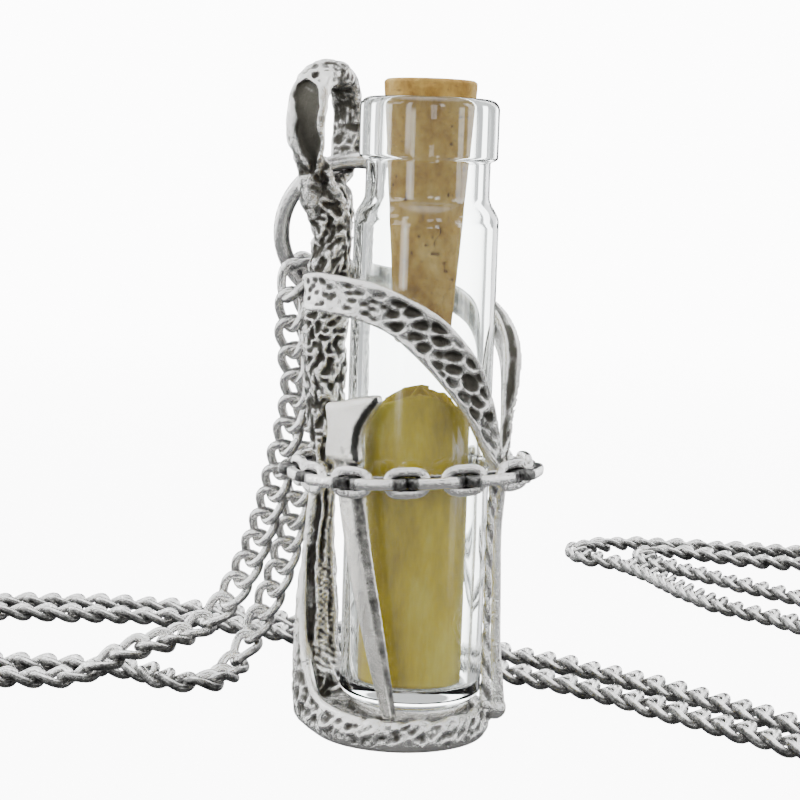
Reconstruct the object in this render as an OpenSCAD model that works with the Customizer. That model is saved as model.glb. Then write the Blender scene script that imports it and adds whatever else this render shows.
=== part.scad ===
// Bottle pendant: a corked glass vial in a cast silver cage, on a curb chain.
// The origin is on the vial's axis, on the flat underside of the cage's base. +Z is up.

/* [Vial] */
// Outer diameter of the glass body
vial_d = 12; // [11:0.25:13]
// Height of the glass from its floor to its lip
vial_h = 50; // [48:0.5:52]
// Thickness of the glass wall
glass_wall = 1.1; // [0.8:0.1:1.4]
// Thickness of the glass floor
glass_floor = 1.4; // [1:0.1:2.5]
// Outer diameter of the rolled lip
lip_d = 11.5; // [11:0.1:12.4]
// Height of the rolled lip
lip_h = 5; // [3.5:0.25:6]
// Outer diameter of the neck
neck_d = 10.3; // [9.8:0.1:10.8]
// Height of the neck between lip and shoulder
neck_h = 3; // [2:0.25:4]
// Height of the shoulder
shoulder_h = 1.9; // [1.4:0.1:2.6]
// Bore of the mouth
mouth_d = 7.8; // [7.2:0.1:8.2]

/* [Cork] */
// Length of the cork
cork_l = 21.6; // [16:0.2:24]
// Length of the cork that stands out of the mouth
cork_out = 1.5; // [1:0.1:4]
// Diameter of the cork's narrow end
cork_tip_d = 4.6; // [4:0.1:6]

/* [Scroll] */
// Height of the rolled paper
scroll_h = 24.5; // [18:0.1:25]
// Thickness of the paper
paper_t = 0.3; // [0.2:0.05:0.4]
// Step from one layer of the roll to the next
roll_step = 0.62; // [0.55:0.01:0.7]
// Number of turns in the roll
roll_turns = 2.1; // [1.6:0.1:2.6]

/* [Base] */
// Height of the base's rim
rim_h = 2.75; // [2.4:0.05:3]
// How far the base stands out past the glass
rim_w = 1.6; // [1.3:0.1:2]
// How far the base is set towards the post
base_shift = 0.9; // [0.6:0.05:1.1]
// Height of the seat under the glass
seat_h = 3.1; // [2.6:0.05:3.4]
// Diameter of the knob at the foot of the strut
knob_d = 2; // [1.6:0.1:2.4]

/* [Post and eyelet] */
// How far the eyelet reaches up over the glass
eyelet_rise = 3; // [2:0.2:4]
// Direction of the post round the vial, in degrees from +X
post_angle = 150; // [146:1:154]
// Clear space between the post and the glass
post_gap = 1.6; // [1.4:0.05:2]
// Widest diameter of the post's straight part
post_d = 3.4; // [3:0.1:3.6]
// Height of the eyelet's loop, to the middle of its band
eyelet_h = 10.2; // [9.6:0.1:11.5]
// Width of the eyelet's loop, to the middle of its band
eyelet_w = 6.6; // [6.4:0.1:7.4]
// Thickness of the eyelet's band
eyelet_t = 1.3; // [1.1:0.05:1.5]
// Width of the eyelet's band across its face
eyelet_face = 3.4; // [2.8:0.1:3.6]
// Direction of the eyelet's loop, in degrees from +X
eyelet_angle = 60; // [56:1:66]

/* [Sash and strut] */
// Widest width of the hammered sash
sash_w = 3.7; // [3:0.1:4.2]
// Thickness of the sash
sash_t = 1.1; // [0.9:0.05:1.3]
// Diameter of the strut's ribs
rib_d = 0.85; // [0.7:0.05:1]

/* [Axe] */
// Width of the axe's head
axe_w = 5.9; // [5:0.1:6.4]
// Height of the axe's head
axe_h = 5.8; // [4.8:0.1:6.2]
// Thickness of the axe
axe_t = 1; // [0.8:0.05:1.1]
// Width of the handle under the head
handle_w = 2.2; // [1.8:0.1:2.6]

/* [Girdle chain] */
// Height of the girdle chain's middle
girdle_z = 22.4; // [21.6:0.1:22.8]
// Length of a girdle link
girdle_link_l = 3.9; // [3.8:0.05:4.2]
// Width of a girdle link
girdle_link_w = 2.6; // [2.5:0.05:2.8]
// Wire of a girdle link
girdle_wire = 0.7; // [0.6:0.02:0.74]

/* [Jump ring] */
// Outer diameter of the jump ring
ring_d = 14; // [13.6:0.1:14.4]
// Wire of the jump ring
ring_wire = 1.4; // [1.2:0.05:1.5]

/* [Neck chain] */
// Mean thickness of the neck chain
chain_d = 2.2; // [2:0.1:2.4]

/* [Hidden] */

vial_r = vial_d / 2;
hollow_r = vial_r - glass_wall;
mouth_r = mouth_d / 2;
fit = 0.1;             // gap between pieces that touch on the real pendant
cage_fit = 0.3;        // gap between the glass and the metal round it
vial_z = seat_h + fit; // underside of the glass
vial_top = vial_z + vial_h;
cage_h = vial_top + eyelet_rise; // height of the cage to the top of its eyelet
shoulder_top = vial_top - lip_h - neck_h;
shoulder_z = shoulder_top - shoulder_h;

function unit(v) = v / norm(v);
function polar(r, a, z) = [r * cos(a), r * sin(a), z];
function signed_power(x, e) = sign(x) * pow(abs(x), e);

// A value of a smooth curve between rows b and c, whose neighbours are a and d
function blend_rows(a, b, c, d, t) =
    (2 * b + (c - a) * t + (2 * a - 5 * b + 4 * c - d) * t * t
    + (3 * b - a - 3 * c + d) * t * t * t) / 2;

// A smooth open run through rows of numbers, in steps between neighbours
function open_run(rows, steps) = let (last = len(rows) - 1) [
    for (i = [0 : last - 1], k = [0 : steps - 1])
        blend_rows(rows[max(i - 1, 0)], rows[i], rows[i + 1], rows[min(i + 2, last)], k / steps),
    rows[last]
];

// The same for a run that closes on itself
function closed_run(rows, steps) = let (n = len(rows)) [
    for (i = [0 : n - 1], k = [0 : steps - 1])
        blend_rows(rows[(i + n - 1) % n], rows[i], rows[(i + 1) % n], rows[(i + 2) % n], k / steps)
];

// An oval outline with n corners; a lower power makes it boxier
function oval(w, t, n, power = 1) = [
    for (k = [0 : n - 1]) let (a = 360 * (k + 0.5) / n)
        [w / 2 * signed_power(cos(a), power), t / 2 * signed_power(sin(a), power)]
];

// An outline set across a route at p, with its second axis turned to face out
function across(p, along, out, outline) =
    let (side = unit(cross(out, along)), face = cross(unit(along), side))
    [for (q = outline) p + side * q[0] + face * q[1]];

// The direction of a route at its point i
function heading(path, i, closed = false) = let (n = len(path))
    closed ? path[(i + 1) % n] - path[(i + n - 1) % n]
    : path[min(i + 1, n - 1)] - path[max(i - 1, 0)];

// One solid through rings of points; a closed one joins its last ring to its first
module skin(rings, closed = false) {
    n = len(rings[0]);
    m = len(rings);
    walls = [
        for (i = [0 : m - (closed ? 1 : 2)], k = [0 : n - 1])
            let (j = (i + 1) % m, q = (k + 1) % n)
            each [[i * n + k, j * n + q, i * n + q], [i * n + k, j * n + k, j * n + q]]
    ];
    ends = closed ? [] : [[for (k = [0 : n - 1]) k], [for (k = [n - 1 : -1 : 0]) (m - 1) * n + k]];
    polyhedron([for (ring = rings) each ring], concat(walls, ends), convexity = 8);
}

// Points of a quarter arc about c, from angle a to angle b
function arc(c, r, a, b, steps) =
    [for (k = [0 : steps]) c + r * [cos(a + (b - a) * k / steps), sin(a + (b - a) * k / steps)]];

// An S-shaped step from (r0, z0) to (r1, z1)
function s_curve(r0, z0, r1, z1, steps) =
    [for (k = [0 : steps]) [r0 + (r1 - r0) * (1 - cos(180 * k / steps)) / 2, z0 + (z1 - z0) * k / steps]];

vial_heel = 1;      // rounding of the glass's lower edge
hollow_heel = 0.4;  // rounding inside, at the glass floor
lip_round = 0.9;    // rounding of the lip's outer edge
lip_chamfer = 0.45; // slope under the lip

module glass_vial() {
    profile = concat(
        [[0, 0]],
        arc([vial_r - vial_heel, vial_heel], vial_heel, -90, 0, 5),
        s_curve(vial_r, shoulder_z - vial_z, neck_d / 2, shoulder_top - vial_z, 6),
        [[neck_d / 2, vial_h - lip_h - lip_chamfer / 2], [lip_d / 2, vial_h - lip_h + lip_chamfer]],
        arc([lip_d / 2 - lip_round, vial_h - lip_round], lip_round, 0, 90, 4),
        arc([mouth_r + lip_chamfer, vial_h - lip_chamfer], lip_chamfer, 90, 180, 3),
        s_curve(mouth_r, shoulder_top - vial_z, hollow_r, shoulder_z - vial_z - glass_wall / 2, 6),
        arc([hollow_r - hollow_heel, glass_floor + hollow_heel], hollow_heel, 0, -90, 4),
        [[0, glass_floor]]
    );
    color([0.86, 0.93, 0.9, 0.4]) translate([0, 0, vial_z]) rotate_extrude($fn = 96) polygon(profile);
}

cork_bevel = 0.25;
cork_in = cork_l - cork_out;
cork_mouth_r = mouth_r - fit;
cork_tip_r = cork_tip_d / 2;
cork_top_r = cork_mouth_r + (cork_mouth_r - cork_tip_r) / cork_in * cork_out;

module cork_stopper() {
    color([0.79, 0.62, 0.42]) translate([0, 0, vial_top - cork_in]) rotate_extrude($fn = 96)
        polygon([
            [0, 0], [cork_tip_r - cork_bevel, 0], [cork_tip_r, cork_bevel],
            [cork_top_r, cork_l - cork_bevel], [cork_top_r - cork_bevel, cork_l], [0, cork_l]
        ]);
}

roll_fit = 0.15; // gap between the roll and the glass
roll_r = hollow_r - roll_fit;
roll_start = 80; // direction of the roll's outer edge, at the back
roll_facets = 28; // corners in one turn of the roll
scroll_z = vial_z + glass_floor + 2 * fit;

// Radius of the roll's middle after a number of turns from its outer edge
function roll_radius(turns) = roll_r - paper_t / 2 - roll_step * turns;

module paper_scroll() {
    steps = round(roll_turns * roll_facets);
    edge = [for (k = [0 : steps]) let (turn = k / roll_facets) [roll_radius(turn), 360 * turn + roll_start]];
    rolled = concat(
        [for (e = edge) (e[0] + paper_t / 2) * [cos(e[1]), sin(e[1])]],
        [for (k = [steps : -1 : 0]) (edge[k][0] - paper_t / 2) * [cos(edge[k][1]), sin(edge[k][1])]]
    );
    color([0.62, 0.53, 0.22]) intersection() {
        translate([0, 0, scroll_z]) linear_extrude(scroll_h) polygon(rolled);
        union() {
            translate([0, roll_r * 2, scroll_z + scroll_h - roll_r]) rotate([90, 0, 0])
                cylinder(r = roll_r, h = roll_r * 4, $fn = 96);
            translate([-roll_r * 2, -roll_r * 2, scroll_z])
                cube([roll_r * 4, roll_r * 4, scroll_h - roll_r]);
        }
    }
}

post_r = vial_r + post_gap + post_d / 2;
base_r = vial_r + rim_w;
base_middle = polar(base_shift, 180, 0);
sash_r = vial_r + cage_fit + sash_t / 2;
eyelet_middle_z = cage_h - eyelet_t / 2 - eyelet_h / 2;
eyelet_middle = polar(post_r + post_d * 0.2, post_angle, eyelet_middle_z);
eyelet_taper = 0.12; // how far the loop narrows below its middle
saddle_z = eyelet_middle_z - eyelet_h / 2 + eyelet_t * 0.8;
post_h = eyelet_middle_z - eyelet_h / 2 + eyelet_t * 0.35; // the post ends inside the eyelet's lowest band

// Rows of the post from its foot: share of the post's height, shift out as a share of the
// post's diameter, width across the radius and along it as shares of the post's diameter
POST = [
    [0.000, -0.12, 1.70, 1.10], [0.042, -0.08, 1.72, 1.14], [0.088, 0.00, 1.44, 1.10],
    [0.140,  0.06, 1.28, 1.02], [0.216,  0.07, 1.20, 0.98], [0.294, 0.06, 0.90, 0.82],
    [0.371,  0.04, 0.72, 0.67], [0.491,  0.00, 0.65, 0.60], [0.589, 0.06, 0.94, 0.90],
    [0.692,  0.08, 1.02, 1.00], [0.751,  0.07, 0.98, 1.02], [0.828, 0.03, 1.06, 0.94],
    [0.897, -0.03, 0.88, 0.87], [0.945, -0.05, 0.92, 0.85], [0.973, 0.02, 1.20, 0.90],
    [1.000,  0.10, 1.36, 0.92]
];

// Rows of the eyelet's band round its loop: angle, share of the band's thickness, of its face
EYELET = [
    [0, 1.0, 0.86], [45, 1.1, 0.92], [90, 1.7, 1.0], [135, 1.25, 1.05],
    [180, 1.0, 1.1], [225, 0.95, 0.70], [270, 1.25, 0.58], [315, 1.05, 0.70]
];

// Rows of the sash from its rounded end on the post: angle, share of the cage's height,
// stand-off from the glass as a share of the post's diameter, shares of width and of thickness
SASH = [
    [160, 0.655, 1.18, 0.40, 0.90], [169, 0.657, 1.16, 0.74, 1.10], [180, 0.658, 0.96, 0.86, 1.15],
    [196, 0.660, 0.62, 0.88, 1.10], [217, 0.657, 0.27, 0.88, 1.00], [238, 0.648, 0.06, 0.90, 1.00],
    [256, 0.632, 0.00, 0.90, 1.00], [273, 0.608, 0.00, 1.00, 1.00], [287, 0.580, 0.00, 1.02, 1.00],
    [299, 0.551, 0.00, 1.00, 1.00], [307, 0.527, 0.01, 0.92, 0.98], [314, 0.502, 0.03, 0.82, 0.96],
    [320, 0.476, 0.05, 0.72, 0.95], [326, 0.450, 0.07, 0.60, 0.95], [333, 0.428, 0.09, 0.48, 0.95],
    [338, 0.416, 0.10, 0.40, 1.00]
];

// Rows of the strand that goes up from the sash's low end and round the back to the post
STRAND = [
    [339, 0.418, 0.11, 0.40, 1.00], [352, 0.443, 0.13, 0.36, 1.00], [360, 0.484, 0.16, 0.42, 1.15],
    [364, 0.521, 0.20, 0.50, 1.40], [370, 0.553, 0.24, 0.60, 1.50], [379, 0.583, 0.26, 0.66, 1.45],
    [391, 0.612, 0.22, 0.66, 1.30], [403, 0.632, 0.16, 0.66, 1.15], [424, 0.652, 0.05, 0.62, 1.00],
    [450, 0.669, 0.01, 0.54, 0.95], [482, 0.680, 0.06, 0.50, 0.95], [500, 0.684, 0.30, 0.54, 0.95],
    [509, 0.686, 0.58, 0.54, 0.90]
];

// Rows of the strut's two ribs from the sash down to the rim: angle, share of the sash's low
// height, stand-off as a share of the rib's diameter, share of the rib's diameter
LEFT_RIB = [
    [-23, 1.00, 0.70, 1.3], [-24, 0.90, 0.20, 0.9], [-25, 0.72, 0.06, 0.8],
    [-24, 0.50, 0.06, 0.8], [-25, 0.30, 0.20, 0.9], [-29, 0.13, 0.60, 1.3]
];
RIGHT_RIB = [
    [-19, 1.00, 0.80, 1.3], [-12, 0.90, 0.45, 1.1], [-9, 0.76, 0.22, 1.0],
    [-8, 0.50, 0.36, 1.0], [-7, 0.28, 0.60, 1.1], [-5, 0.12, 0.90, 1.5]
];
rib_z = cage_h * 0.417; // height of the sash's low end

// Section of the sash, raised along both edges: shares of its width and of its thickness
SASH_SECTION = [
    [0.50, 0.00], [0.48, 0.36], [0.40, 0.50], [0.30, 0.34], [0.00, 0.26], [-0.30, 0.34],
    [-0.40, 0.50], [-0.48, 0.36], [-0.50, 0.00], [-0.42, -0.42], [0.00, -0.48], [0.42, -0.42]
];

// A band round the vial, with one end sunk where it starts and where it stops
module band(rows, steps) {
    run = open_run(rows, steps);
    path = [for (row = run) polar(sash_r + row[2] * post_d, row[0], row[1] * cage_h)];
    skin([
        for (i = [0 : len(run) - 1])
            across(path[i], heading(path, i), polar(1, run[i][0], 0),
                [for (q = SASH_SECTION) [q[0] * run[i][3] * sash_w, q[1] * run[i][4] * sash_t]])
    ]);
}

module post() {
    run = open_run(POST, 3);
    radial = polar(1, post_angle, 0);
    bark = 0.05; // depth of the bark as a share of the post's diameter
    skin([
        for (i = [0 : len(run) - 1])
            let (row = run[i], middle = polar(post_r + row[1] * post_d, post_angle, row[0] * post_h))
            [for (k = [0 : 13])
                let (a = 360 * k / 14, rough = 1 + bark * sin(a * 4 + i * 67) + bark * cos(i * 140 + a))
                middle + rough * post_d / 2 * (
                    radial * row[3] * cos(a) + polar(row[2] * sin(a), post_angle + 90, 0)
                )]
    ]);
}

module eyelet() {
    run = closed_run(EYELET, 4);
    n = len(run);
    along = polar(1, eyelet_angle, 0);
    spots = [for (k = [0 : n - 1]) let (a = 360 * k / n)
        eyelet_middle + along * eyelet_w / 2 * cos(a) * (1 + eyelet_taper * sin(a))
            + [0, 0, eyelet_h / 2 * sin(a)]];
    skin([
        for (k = [0 : n - 1]) let (a = 360 * k / n, swell = (run[k][1] - 1) * eyelet_t / 2)
            across(spots[k], heading(spots, k, true), along * cos(a) + [0, 0, sin(a)],
                [for (q = oval(run[k][2] * eyelet_face, run[k][1] * eyelet_t, 12, 0.8)) q - [0, swell]])
    ], closed = true);
}

module rib(rows) {
    function spot(row) =
        polar(vial_r + cage_fit + rib_d / 2 + row[2] * rib_d, row[0], row[1] * rib_z);
    for (i = [0 : len(rows) - 2]) hull() {
        translate(spot(rows[i])) sphere(d = rows[i][3] * rib_d, $fn = 10);
        translate(spot(rows[i + 1])) sphere(d = rows[i + 1][3] * rib_d, $fn = 10);
    }
}

module base() {
    moat_h = rim_h * 0.84; // top of the groove between the rim and the seat
    translate(base_middle) rotate_extrude($fn = 56) polygon([
        [0, 0], [base_r - rim_w * 0.28, 0], [base_r - rim_w * 0.03, rim_h * 0.145],
        [base_r + rim_w * 0.09, rim_h * 0.47], [base_r, rim_h * 0.82],
        [base_r - rim_w * 0.25, rim_h], [base_r - rim_w * 0.5, rim_h * 0.98],
        [base_r - rim_w * 0.72, moat_h], [0, moat_h]
    ]);
    cylinder(r = vial_r - vial_heel, h = seat_h, $fn = 48);
    translate(polar(base_r - base_shift * 0.4, -4, rim_h - knob_d * 0.17)) sphere(d = knob_d, $fn = 20);
}

module cage() {
    color([0.72, 0.72, 0.71]) union() {
        base();
        post();
        eyelet();
        band(SASH, 3);
        band(STRAND, 3);
        rib(LEFT_RIB);
        rib(RIGHT_RIB);
    }
}

axe_r = vial_r + cage_fit + axe_t / 2;
axe_angle = 221;
head_z = girdle_z + girdle_link_w / 2 - 0.3;

// Outline of the axe's head: shares of its width from the handle's middle and of its height
AXE_HEAD = [
    [-0.53, 0.00], [0.07, 0.00], [0.09, 0.23], [0.13, 0.50], [0.25, 0.70], [0.41, 0.88],
    [0.43, 0.94], [0.36, 1.00], [-0.01, 0.91], [-0.33, 0.80], [-0.56, 0.74], [-0.53, 0.43]
];

// Rows of the handle from the head down to the rim: angle, share of the head's height over
// the rim, share of the handle's width
HANDLE = [
    [212, 1.08, 1.10], [213, 0.97, 1.05], [218, 0.85, 0.95], [228, 0.615, 0.86],
    [238.5, 0.38, 0.74], [249, 0.148, 0.56], [256, 0.00, 0.42]
];

module axe() {
    rim_top = rim_h + fit;
    run = open_run(HANDLE, 2);
    path = [for (row = run) polar(axe_r, row[0], rim_top + row[1] * (head_z - rim_top))];
    color([0.8, 0.8, 0.8]) union() {
        translate(polar(axe_r - axe_t / 2, axe_angle, head_z)) rotate([90, 0, axe_angle + 90])
            linear_extrude(axe_t) polygon([for (q = AXE_HEAD) [q[0] * axe_w, q[1] * axe_h]]);
        skin([
            for (i = [0 : len(run) - 1])
                across(path[i], heading(path, i), polar(1, run[i][0], 0),
                    oval(run[i][2] * handle_w, axe_t, 8, 0.8))
        ]);
    }
}

link_reach = girdle_link_w / 2 + fit; // room that an edge-on link needs
girdle_tilt = 0.06;                   // rise of the hoop towards +X

// Spots of the girdle chain's loop: angle, and how far what it passes reaches from the axis
GIRDLE = [
    [264, vial_r + cage_fit * 0.5], [246, vial_r + cage_fit * 1.5], [222, axe_r + axe_t * 0.3],
    [198, post_r - post_d * 0.46], [176, post_r - post_d * 0.26],
    [162, post_r + post_d * 0.10], [149, post_r + post_d * 0.12], [134, post_r + post_d * 0.06],
    [118, post_r - post_d * 0.30],
    [100, vial_r + cage_fit * 2.5], [72, vial_r + fit], [40, vial_r + cage_fit],
    [10, vial_r + cage_fit + rib_d], [-14, vial_r + cage_fit + rib_d * 1.8],
    [-38, vial_r + cage_fit + rib_d * 1.1], [-62, vial_r + cage_fit * 0.7]
];
girdle_run = closed_run([
    for (g = GIRDLE) let (spot = polar(g[1] + link_reach, g[0], girdle_z))
        spot + [0, 0, girdle_tilt * spot[0]]
], 8);

// Distance along a closed run up to each of its points
function distances(run, i = 0, total = 0) = i > len(run) ? []
    : concat([total], distances(run, i + 1, total + norm(run[(i + 1) % len(run)] - run[i % len(run)])));
girdle_far = distances(girdle_run);
girdle_length = girdle_far[len(girdle_run)];
girdle_pitch = girdle_link_l - 2 * girdle_wire - fit;
girdle_links = 2 * ceil(girdle_length / girdle_pitch / 2);

// The point at a distance along the girdle's loop
function girdle_point(s, i = 0) =
    let (t = s - floor(s / girdle_length) * girdle_length, n = len(girdle_run))
    girdle_far[i + 1] >= t
    ? girdle_run[i] + (girdle_run[(i + 1) % n] - girdle_run[i])
        * (t - girdle_far[i]) / (girdle_far[i + 1] - girdle_far[i])
    : girdle_point(s, i + 1);

// One chamfered oval link lying flat, its length along X
module girdle_link() {
    corners = 12;
    straight = (girdle_link_l - girdle_link_w) / 2;
    bend = (girdle_link_w - girdle_wire) / 2;
    spots = [for (k = [0 : corners - 1]) let (a = 360 * (k + 0.5) / corners)
        [bend * cos(a) + straight * sign(cos(a)), bend * sin(a), 0]];
    skin([
        for (k = [0 : corners - 1]) let (a = 360 * (k + 0.5) / corners)
            across(spots[k], heading(spots, k, true), [cos(a), sin(a), 0],
                oval(girdle_wire, girdle_wire, 6))
    ], closed = true);
}

module girdle_chain() {
    color([0.7, 0.7, 0.69]) for (k = [0 : girdle_links - 1]) {
        step = girdle_length / girdle_links;
        before = girdle_point((k - 0.5) * step);
        after = girdle_point((k + 0.5) * step);
        way = after - before;
        climb = atan2(way[2], norm([way[0], way[1]]));
        translate(girdle_point(k * step)) rotate([0, -climb, atan2(way[1], way[0])])
            rotate([k % 2 == 0 ? 90 : 0, 0, 0]) girdle_link();
    }
}

ring_r = (ring_d - ring_wire) / 2;
ring_turn = 8;       // direction of the ring's plane, in degrees from +X
ring_lean = 14;      // lean of the ring's foot away from the front
ring_gap = 0.32;     // gap between the ring and the eyelet's lowest point
ring_back = 0.42;    // how far the ring hangs behind the eyelet's middle
ring_offset = -2.7;  // how far the eyelet lies to the side of the ring's middle

module jump_ring() {
    hang = [eyelet_middle[0], eyelet_middle[1] + ring_back, ring_hang_z];
    color([0.75, 0.75, 0.75]) translate(hang) rotate([0, 0, ring_turn]) rotate([90 + ring_lean, 0, 0])
        translate([-ring_offset, -ring_top, 0]) rotate_extrude($fn = 72)
        translate([ring_r, 0]) circle(d = ring_wire, $fn = 24);
}

ring_top = sqrt(ring_r * ring_r - ring_offset * ring_offset); // rise from the ring's middle to the eyelet
ring_hang_z = saddle_z + ring_wire / 2 + ring_gap;
ring_middle_z = ring_hang_z - ring_top * cos(ring_lean);
chain_z = chain_d / 2 + 0.15; // height of the chain's middle where it lies

// Route of the neck chain, from inside the jump ring down to the table, round the outer
// strand to the far end of the loop, and back along the inner strand: X, Y, and the share of
// the way up from the table to the ring's middle
CHAIN_ROUTE = [
    [-10.2, 6.6, 0.983], [-10.9, 4.9, 0.971], [-11.1, 4.7, 0.929], [-11.4, 6.6, 0.767],
    [-10.9, 8.4, 0.653], [-12.1, 11.1, 0.506], [-13.6, 13.8, 0.358], [-15.7, 16.2, 0.215],
    [-18, 16.6, 0.122], [-20.6, 14.8, 0.078], [-23.2, 11.8, 0.068], [-26.6, 10.2, 0.048], [-31.4, 9.7, 0],
    [-47, 10, 0], [-54, 13, 0], [-57.6, 18.6, 0], [-57.8, 26, 0], [-55, 32.6, 0], [-50, 37.4, 0],
    [-41, 40.4, 0], [-27, 40.8, 0], [-15.6, 36.8, 0], [-1, 30.6, 0], [12, 23.2, 0], [22.6, 14.4, 0],
    [33, 2.8, 0], [38.4, -3, 0], [43.6, -5, 0], [47.8, -2.2, 0], [49.6, 4, 0], [45, 32, 0],
    [40.4, 43.8, 0], [34.6, 50.6, 0], [31, 58.6, 0], [28.4, 67, 0], [25.4, 73.6, 0], [21.4, 77.4, 0],
    [20.4, 82, 0], [23.6, 86.2, 0], [30, 88, 0], [46, 86.4, 0], [60.6, 84, 0], [62.6, 80, 0],
    [59.4, 77.4, 0], [48, 78, 0], [40.4, 79.6, 0], [34.6, 83, 0], [29.4, 82, 0], [28.8, 76.8, 0],
    [33, 70.6, 0], [39, 62.6, 0], [45, 55, 0], [49.6, 46, 0], [53.4, 31, 0], [53.8, 0, 0], [50.2, -8.2, 0],
    [43.8, -10.8, 0], [37, -8.8, 0], [30, -1.8, 0], [15, 13.4, 0], [-1, 23.8, 0], [-13, 30.6, 0],
    [-25, 35.4, 0], [-42, 35.4, 0], [-50, 32.4, 0], [-53, 26.4, 0], [-51.6, 19.8, 0], [-46, 15, 0],
    [-30, 14.2, 0], [-25.2, 13.4, 0], [-21.4, 9.9, 0], [-18, 10.6, 0], [-16.2, 15, 0.014],
    [-14.2, 17.9, 0.102], [-12.2, 17, 0.240], [-10.9, 14.4, 0.402], [-10, 12.3, 0.584],
    [-9.8, 10.8, 0.757], [-10.1, 9.8, 0.870], [-10.6, 9.4, 0.922]
];
chain_path = [for (p = CHAIN_ROUTE) [p[0], p[1], chain_z + p[2] * (ring_middle_z - chain_z)]];

module neck_chain() {
    outline = oval(chain_d, chain_d, 8);
    aside = [-1, 0, 1]; // a direction that the route never takes
    color([0.78, 0.78, 0.77]) skin([
        for (i = [0 : len(chain_path) - 1])
            across(chain_path[i], heading(chain_path, i, true), aside, outline)
    ], closed = true);
}

glass_vial();
cork_stopper();
paper_scroll();
cage();
axe();
girdle_chain();
jump_ring();
neck_chain();
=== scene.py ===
# %% [markdown]
# # A bottle pendant in blackened silver
#
# The pendant is about 56 mm high: a corked glass vial with a rolled parchment in it, held by
# a cast silver cage, with a girdle of small links, a hatchet, a ring and a curb chain. The
# exact CAD model comes in as a frame, and each piece below is dressed or rebuilt on it.
# Blender works in metres. The tables here are in millimetres, because a maker of jewellery
# thinks in millimetres, and one helper turns them into metres at the end.

# %% Load the frame
import math

import bpy
import numpy as np
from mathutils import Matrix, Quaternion, Vector
from mathutils.kdtree import KDTree


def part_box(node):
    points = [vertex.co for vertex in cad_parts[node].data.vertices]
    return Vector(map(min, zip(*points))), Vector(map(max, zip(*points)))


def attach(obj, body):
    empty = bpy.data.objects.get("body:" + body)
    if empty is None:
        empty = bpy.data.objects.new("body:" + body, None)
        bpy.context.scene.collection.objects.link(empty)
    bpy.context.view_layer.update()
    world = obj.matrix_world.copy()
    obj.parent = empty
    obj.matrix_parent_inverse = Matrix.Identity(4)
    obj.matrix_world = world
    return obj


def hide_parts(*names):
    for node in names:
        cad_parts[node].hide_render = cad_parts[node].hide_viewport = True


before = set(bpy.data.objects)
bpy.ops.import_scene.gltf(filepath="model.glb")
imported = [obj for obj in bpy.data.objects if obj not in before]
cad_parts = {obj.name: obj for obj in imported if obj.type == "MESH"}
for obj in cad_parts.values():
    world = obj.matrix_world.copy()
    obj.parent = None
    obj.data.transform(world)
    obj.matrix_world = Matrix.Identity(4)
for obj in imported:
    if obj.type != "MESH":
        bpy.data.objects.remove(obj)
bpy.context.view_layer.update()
MM = 0.001
for name in sorted(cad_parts):
    low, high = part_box(name)
    size = (high - low) / MM
    print(f"{name}: {size.x:.1f} x {size.y:.1f} x {size.z:.1f} mm")

# %% [markdown]
# The camera stands at the height of the vial's neck and looks down a little, so the table
# shows as a low band and the chain on it is seen at a flat angle. A lens of 90 mm keeps the
# upright lines of so small a thing nearly parallel. The picture leans by two degrees, which is
# a turn of the camera about its own line of sight.

# %% Camera
eye = Vector((0, -166, 46.5)) * MM
target = Vector((-1.66, 0, 28.2)) * MM
camera = bpy.data.objects.new("camera", bpy.data.cameras.new("camera"))
bpy.context.scene.collection.objects.link(camera)
camera.data.lens = 90
camera.data.sensor_width = 36
camera.data.clip_start, camera.data.clip_end = 0.005, 20
camera.location = eye
camera.rotation_mode = "QUATERNION"
own_axis = Vector((0, 0, 1))
lean = math.radians(1.975)
camera.rotation_quaternion = (target - eye).to_track_quat("-Z", "Y")
camera.rotation_quaternion @= Quaternion(own_axis, lean)
bpy.context.scene.camera = camera
print("the camera is", round((target - eye).length / MM), "mm from the pendant")

# %% [markdown]
# Polished metal has no colour of its own: it shows what stands round it. A plain white room
# would make silver look like chalk, so the room is dim, with soft boxes at the sides, above and
# behind, as a photographer sets them. Their edges draw the bright and dark lines along each
# rib. The room is the world's shader. The camera, and what it sees through the glass, gets a
# plain white backdrop, and only light and reflections get the soft boxes. Light that has passed
# through glass finds the room brighter, or the vial's edges would turn into black lines.

# %% Studio
def node_tree(owner):
    owner.use_nodes = True
    tree = owner.node_tree
    tree.nodes.clear()
    return tree


def add_node(tree, kind, inputs=(), **settings):
    made = tree.nodes.new(kind)
    for key, value in settings.items():
        setattr(made, key, value)
    for key, value in dict(inputs).items():
        if isinstance(value, bpy.types.NodeSocket):
            tree.links.new(value, made.inputs[key])
        else:
            made.inputs[key].default_value = value
    return made


def math_node(tree, operation, a, b=0.0):
    return add_node(tree, "ShaderNodeMath", {0: a, 1: b}, operation=operation).outputs[0]


def plus(tree, a, b):
    return math_node(tree, "ADD", a, b)


def minus(tree, a, b):
    return math_node(tree, "SUBTRACT", a, b)


def times(tree, a, b):
    return math_node(tree, "MULTIPLY", a, b)


def smooth_step(tree, value, low, high):
    """0 below low, 1 above high, and a soft rise between them."""
    made = add_node(tree, "ShaderNodeMapRange", {"Value": value, "From Min": low, "From Max": high},
                    interpolation_type="SMOOTHSTEP")
    return made.outputs["Result"]


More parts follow.
